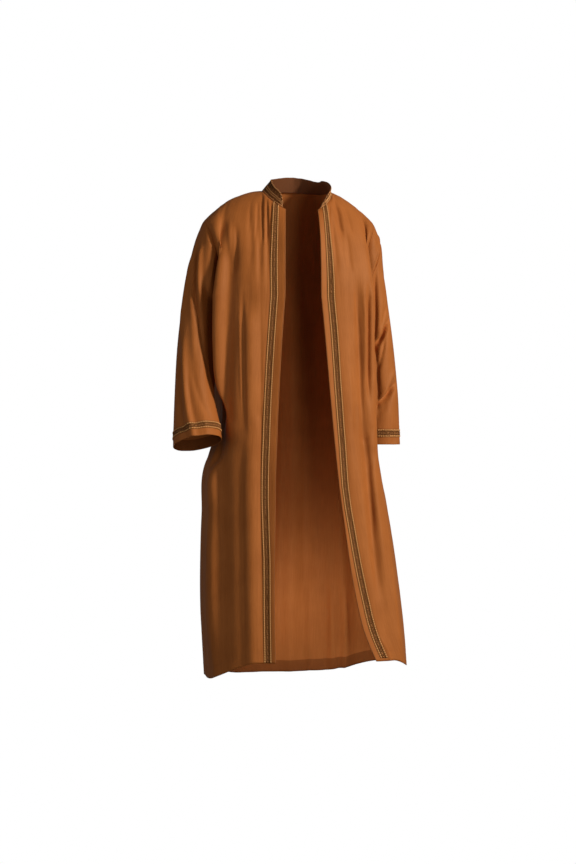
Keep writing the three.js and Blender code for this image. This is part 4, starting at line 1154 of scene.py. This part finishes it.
def make_sleeve(side_name):
    points, around, down, facing, places = shaped_sleeve(side_name)
    shell = cloth_piece("robe_sleeve_" + side_name, points, around, down, facing, ring=True)
    sleeve = body_piece(shell, "sleeve_" + side_name)
    top, foot = np.searchsorted(places, BRAID_TOP_STATION), np.searchsorted(places, BRAID_FOOT_STATION)
    rows = slice(top - 2, foot + 3)  # with two more beside the braid, for its stitches
    closed = lambda grid: np.swapaxes(np.concatenate([grid, grid[:, :1]], axis=1)[rows], 0, 1)
    across = down[:, RING_POINTS // 2] - down[top, RING_POINTS // 2]
    normals = grid_normals(points, facing, ring=True)
    patch, width = Patch(closed(points), closed(normals), across[rows], -facing), float(across[foot])
    trim, sewing = Trim(), Trim()
    braid(trim, patch, 0, width)
    body_piece(trim.mesh("braid_cuff_" + side_name, BRAID_SLOTS), "cuff_braid_" + side_name)
    for across in (-CUFF_STITCH_GAP, width + CUFF_STITCH_GAP):
        stitches(sewing, patch, across, EDGE_STITCH_PITCH)
    body_piece(sewing.mesh("sewing_sleeve_" + side_name, ["thread"]))
    return sleeve


def make_collar(front_right, front_left, back, right_lengths):
    points, along, height = collar_grid(front_right, front_left, back, right_lengths)
    facing = 1
    normals = grid_normals(points, facing)
    rows, columns = points.shape[:2]
    faces, _, _ = shell_faces(rows, columns, False, facing)
    layers = [(points + way * normals * COLLAR_WALL / 2).reshape(-1, 3) for way in (-1, 1)]
    uv = np.stack(np.broadcast_arrays(along[None], height[None] * np.linspace(1, 0, rows)[:, None]), -1)
    uv = np.concatenate([uv.reshape(-1, 2)] * 2)
    shell = add_mesh("robe_collar", np.concatenate(layers), faces, None, uv, ["collar_cloth"])
    collar = body_piece(shell, "collar")
    flip = lambda grid: np.swapaxes(grid[::-1, 1 : columns - 1], 0, 1)
    patch = Patch(flip(points), flip(normals), np.linspace(0, 1, rows) * COLLAR_HEIGHT, -facing)
    trim = Trim()
    low, high = COLLAR_BRAID
    ground = (COLLAR_GROUND_HEIGHT, GROUND, COLLAR_GROUND_LIFT)
    ribbon(trim, patch, low * COLLAR_HEIGHT, high * COLLAR_HEIGHT, *ground)
    bead_at = np.arange(1, patch.length, BEAD_PITCH)
    for share, width in COLLAR_ROPES:
        size = (BEAD_PITCH * COLLAR_ROPE_LENGTH, width, COLLAR_ROPE_HEIGHT)
        beads(trim, patch, bead_at, share * COLLAR_HEIGHT, size, GOLD, COLLAR_ROPE_TURN, COLLAR_ROPE_LIFT)
    for share in COLLAR_YARNS:
        cord(trim, patch, patch.along, share * COLLAR_HEIGHT, COLLAR_YARN_RADIUS, EDGE, COLLAR_YARN_LIFT)
    for share in COLLAR_DOTS:
        beads(trim, patch, bead_at[::2], share * COLLAR_HEIGHT, COLLAR_DOT, GOLD, lift=BEAD_LIFT)
    body_piece(trim.mesh("braid_collar", BRAID_SLOTS), "collar_braid")
    return collar


def make_robe():
    fronts, back = {name: shaped_front(name) for name in SIDES}, shaped_back()
    pieces = {"front_" + name: make_front(name, *form) for name, form in fronts.items()}
    pieces["back"] = make_back(*back)
    for name in SIDES:
        pieces["sleeve_" + name] = make_sleeve(name)
    pieces["collar"] = make_collar(fronts["right"][0], fronts["left"][0], back[0], fronts["right"][1])


# ---- studio, in metres ----

FLOOR_HEIGHT = -1.56
CAMERA_DISTANCE, CAMERA_TURN = 5.0, np.radians(-10)
CAMERA_TARGET = Vector((-0.025, 0.0, -0.664))
CAMERA_LENS = 74.4
CHEST, WARM = (0, 0, -0.6), (1.0, 0.97, 0.93)
LIGHTS = table(
    "name place target size power colour seen",
    ("key", (3.3, -3.1, 1.5), CHEST, 0.8, 222, WARM, True),
    ("fill", (-3.9, -2.2, 0.3), CHEST, 1.6, 20, (1, 1, 1), True),
    ("inside", (0.03, -0.13, -1.2), (0.07, 0.2, -1.22), 0.2, 0.5, WARM, False),
    ("low", (0.5, -3.6, -1.3), (0.0, 0.1, -1.15), 0.7, 14, (1, 1, 1), True),
)
WORLD_LIGHT = 0.09
BACKDROP_START, BACKDROP_WALL, BACKDROP_HALF, BACKDROP_TOP = -8.0, 4.2, 8.0, 6.0
BACKDROP_BEND, BEND_STEPS = 1.2, 12


def make_lights():
    for row in LIGHTS:
        light = bpy.data.lights.new(row["name"], "AREA")
        light.shape, light.size = "DISK", row["size"]
        light.energy, light.color = row["power"], row["colour"]
        obj = bpy.data.objects.new(row["name"], light)
        obj.location = row["place"]
        way = Vector(row["target"]) - Vector(row["place"])
        obj.rotation_euler = way.to_track_quat("-Z", "Y").to_euler()
        obj.visible_camera = row["seen"]
        bpy.context.scene.collection.objects.link(obj)


def make_studio():
    """A white floor that curves up into a white wall, with light from the front and the viewer's right."""
    bend_start = BACKDROP_WALL - BACKDROP_BEND
    profile = [(BACKDROP_START, 0.0), (bend_start, 0.0)]
    for angle in steps(0, np.pi / 2, BEND_STEPS):
        profile.append((bend_start + BACKDROP_BEND * np.sin(angle), BACKDROP_BEND * (1 - np.cos(angle))))
    profile.append((BACKDROP_WALL, BACKDROP_TOP))
    corners = [(x, y, FLOOR_HEIGHT + z) for y, z in profile for x in (-BACKDROP_HALF, BACKDROP_HALF)]
    faces = [(2 * i, 2 * i + 1, 2 * i + 3, 2 * i + 2) for i in range(len(profile) - 1)]
    backdrop = add_mesh("backdrop", np.array(corners) / METRES, faces, surfaces=["studio"])
    backdrop.visible_diffuse = backdrop.visible_glossy = backdrop.visible_shadow = False
    backdrop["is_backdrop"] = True
    world = bpy.data.worlds.new("studio")
    bpy.context.scene.world = world
    world.use_nodes = True
    background = world.node_tree.nodes["Background"]
    background.inputs["Color"].default_value = (1, 1, 1, 1)
    background.inputs["Strength"].default_value = WORLD_LIGHT
    make_lights()


def make_camera():
    data = bpy.data.cameras.new("camera")
    data.sensor_width, data.lens = 36, CAMERA_LENS
    camera = bpy.data.objects.new("camera", data)
    away = Vector((np.sin(CAMERA_TURN), -np.cos(CAMERA_TURN), 0))
    camera.location = CAMERA_TARGET + away * CAMERA_DISTANCE
    camera.rotation_euler = (-away).to_track_quat("-Z", "Y").to_euler()
    bpy.context.scene.collection.objects.link(camera)
    bpy.context.scene.camera = camera


make_materials()
make_robe()
make_studio()
make_camera()
bpy.context.scene.view_settings.view_transform = "Standard"

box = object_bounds()
plain = lambda corners: [[float(x) for x in corner] for corner in corners]
{"cad": plain(cad_box), "visual": plain(box)}
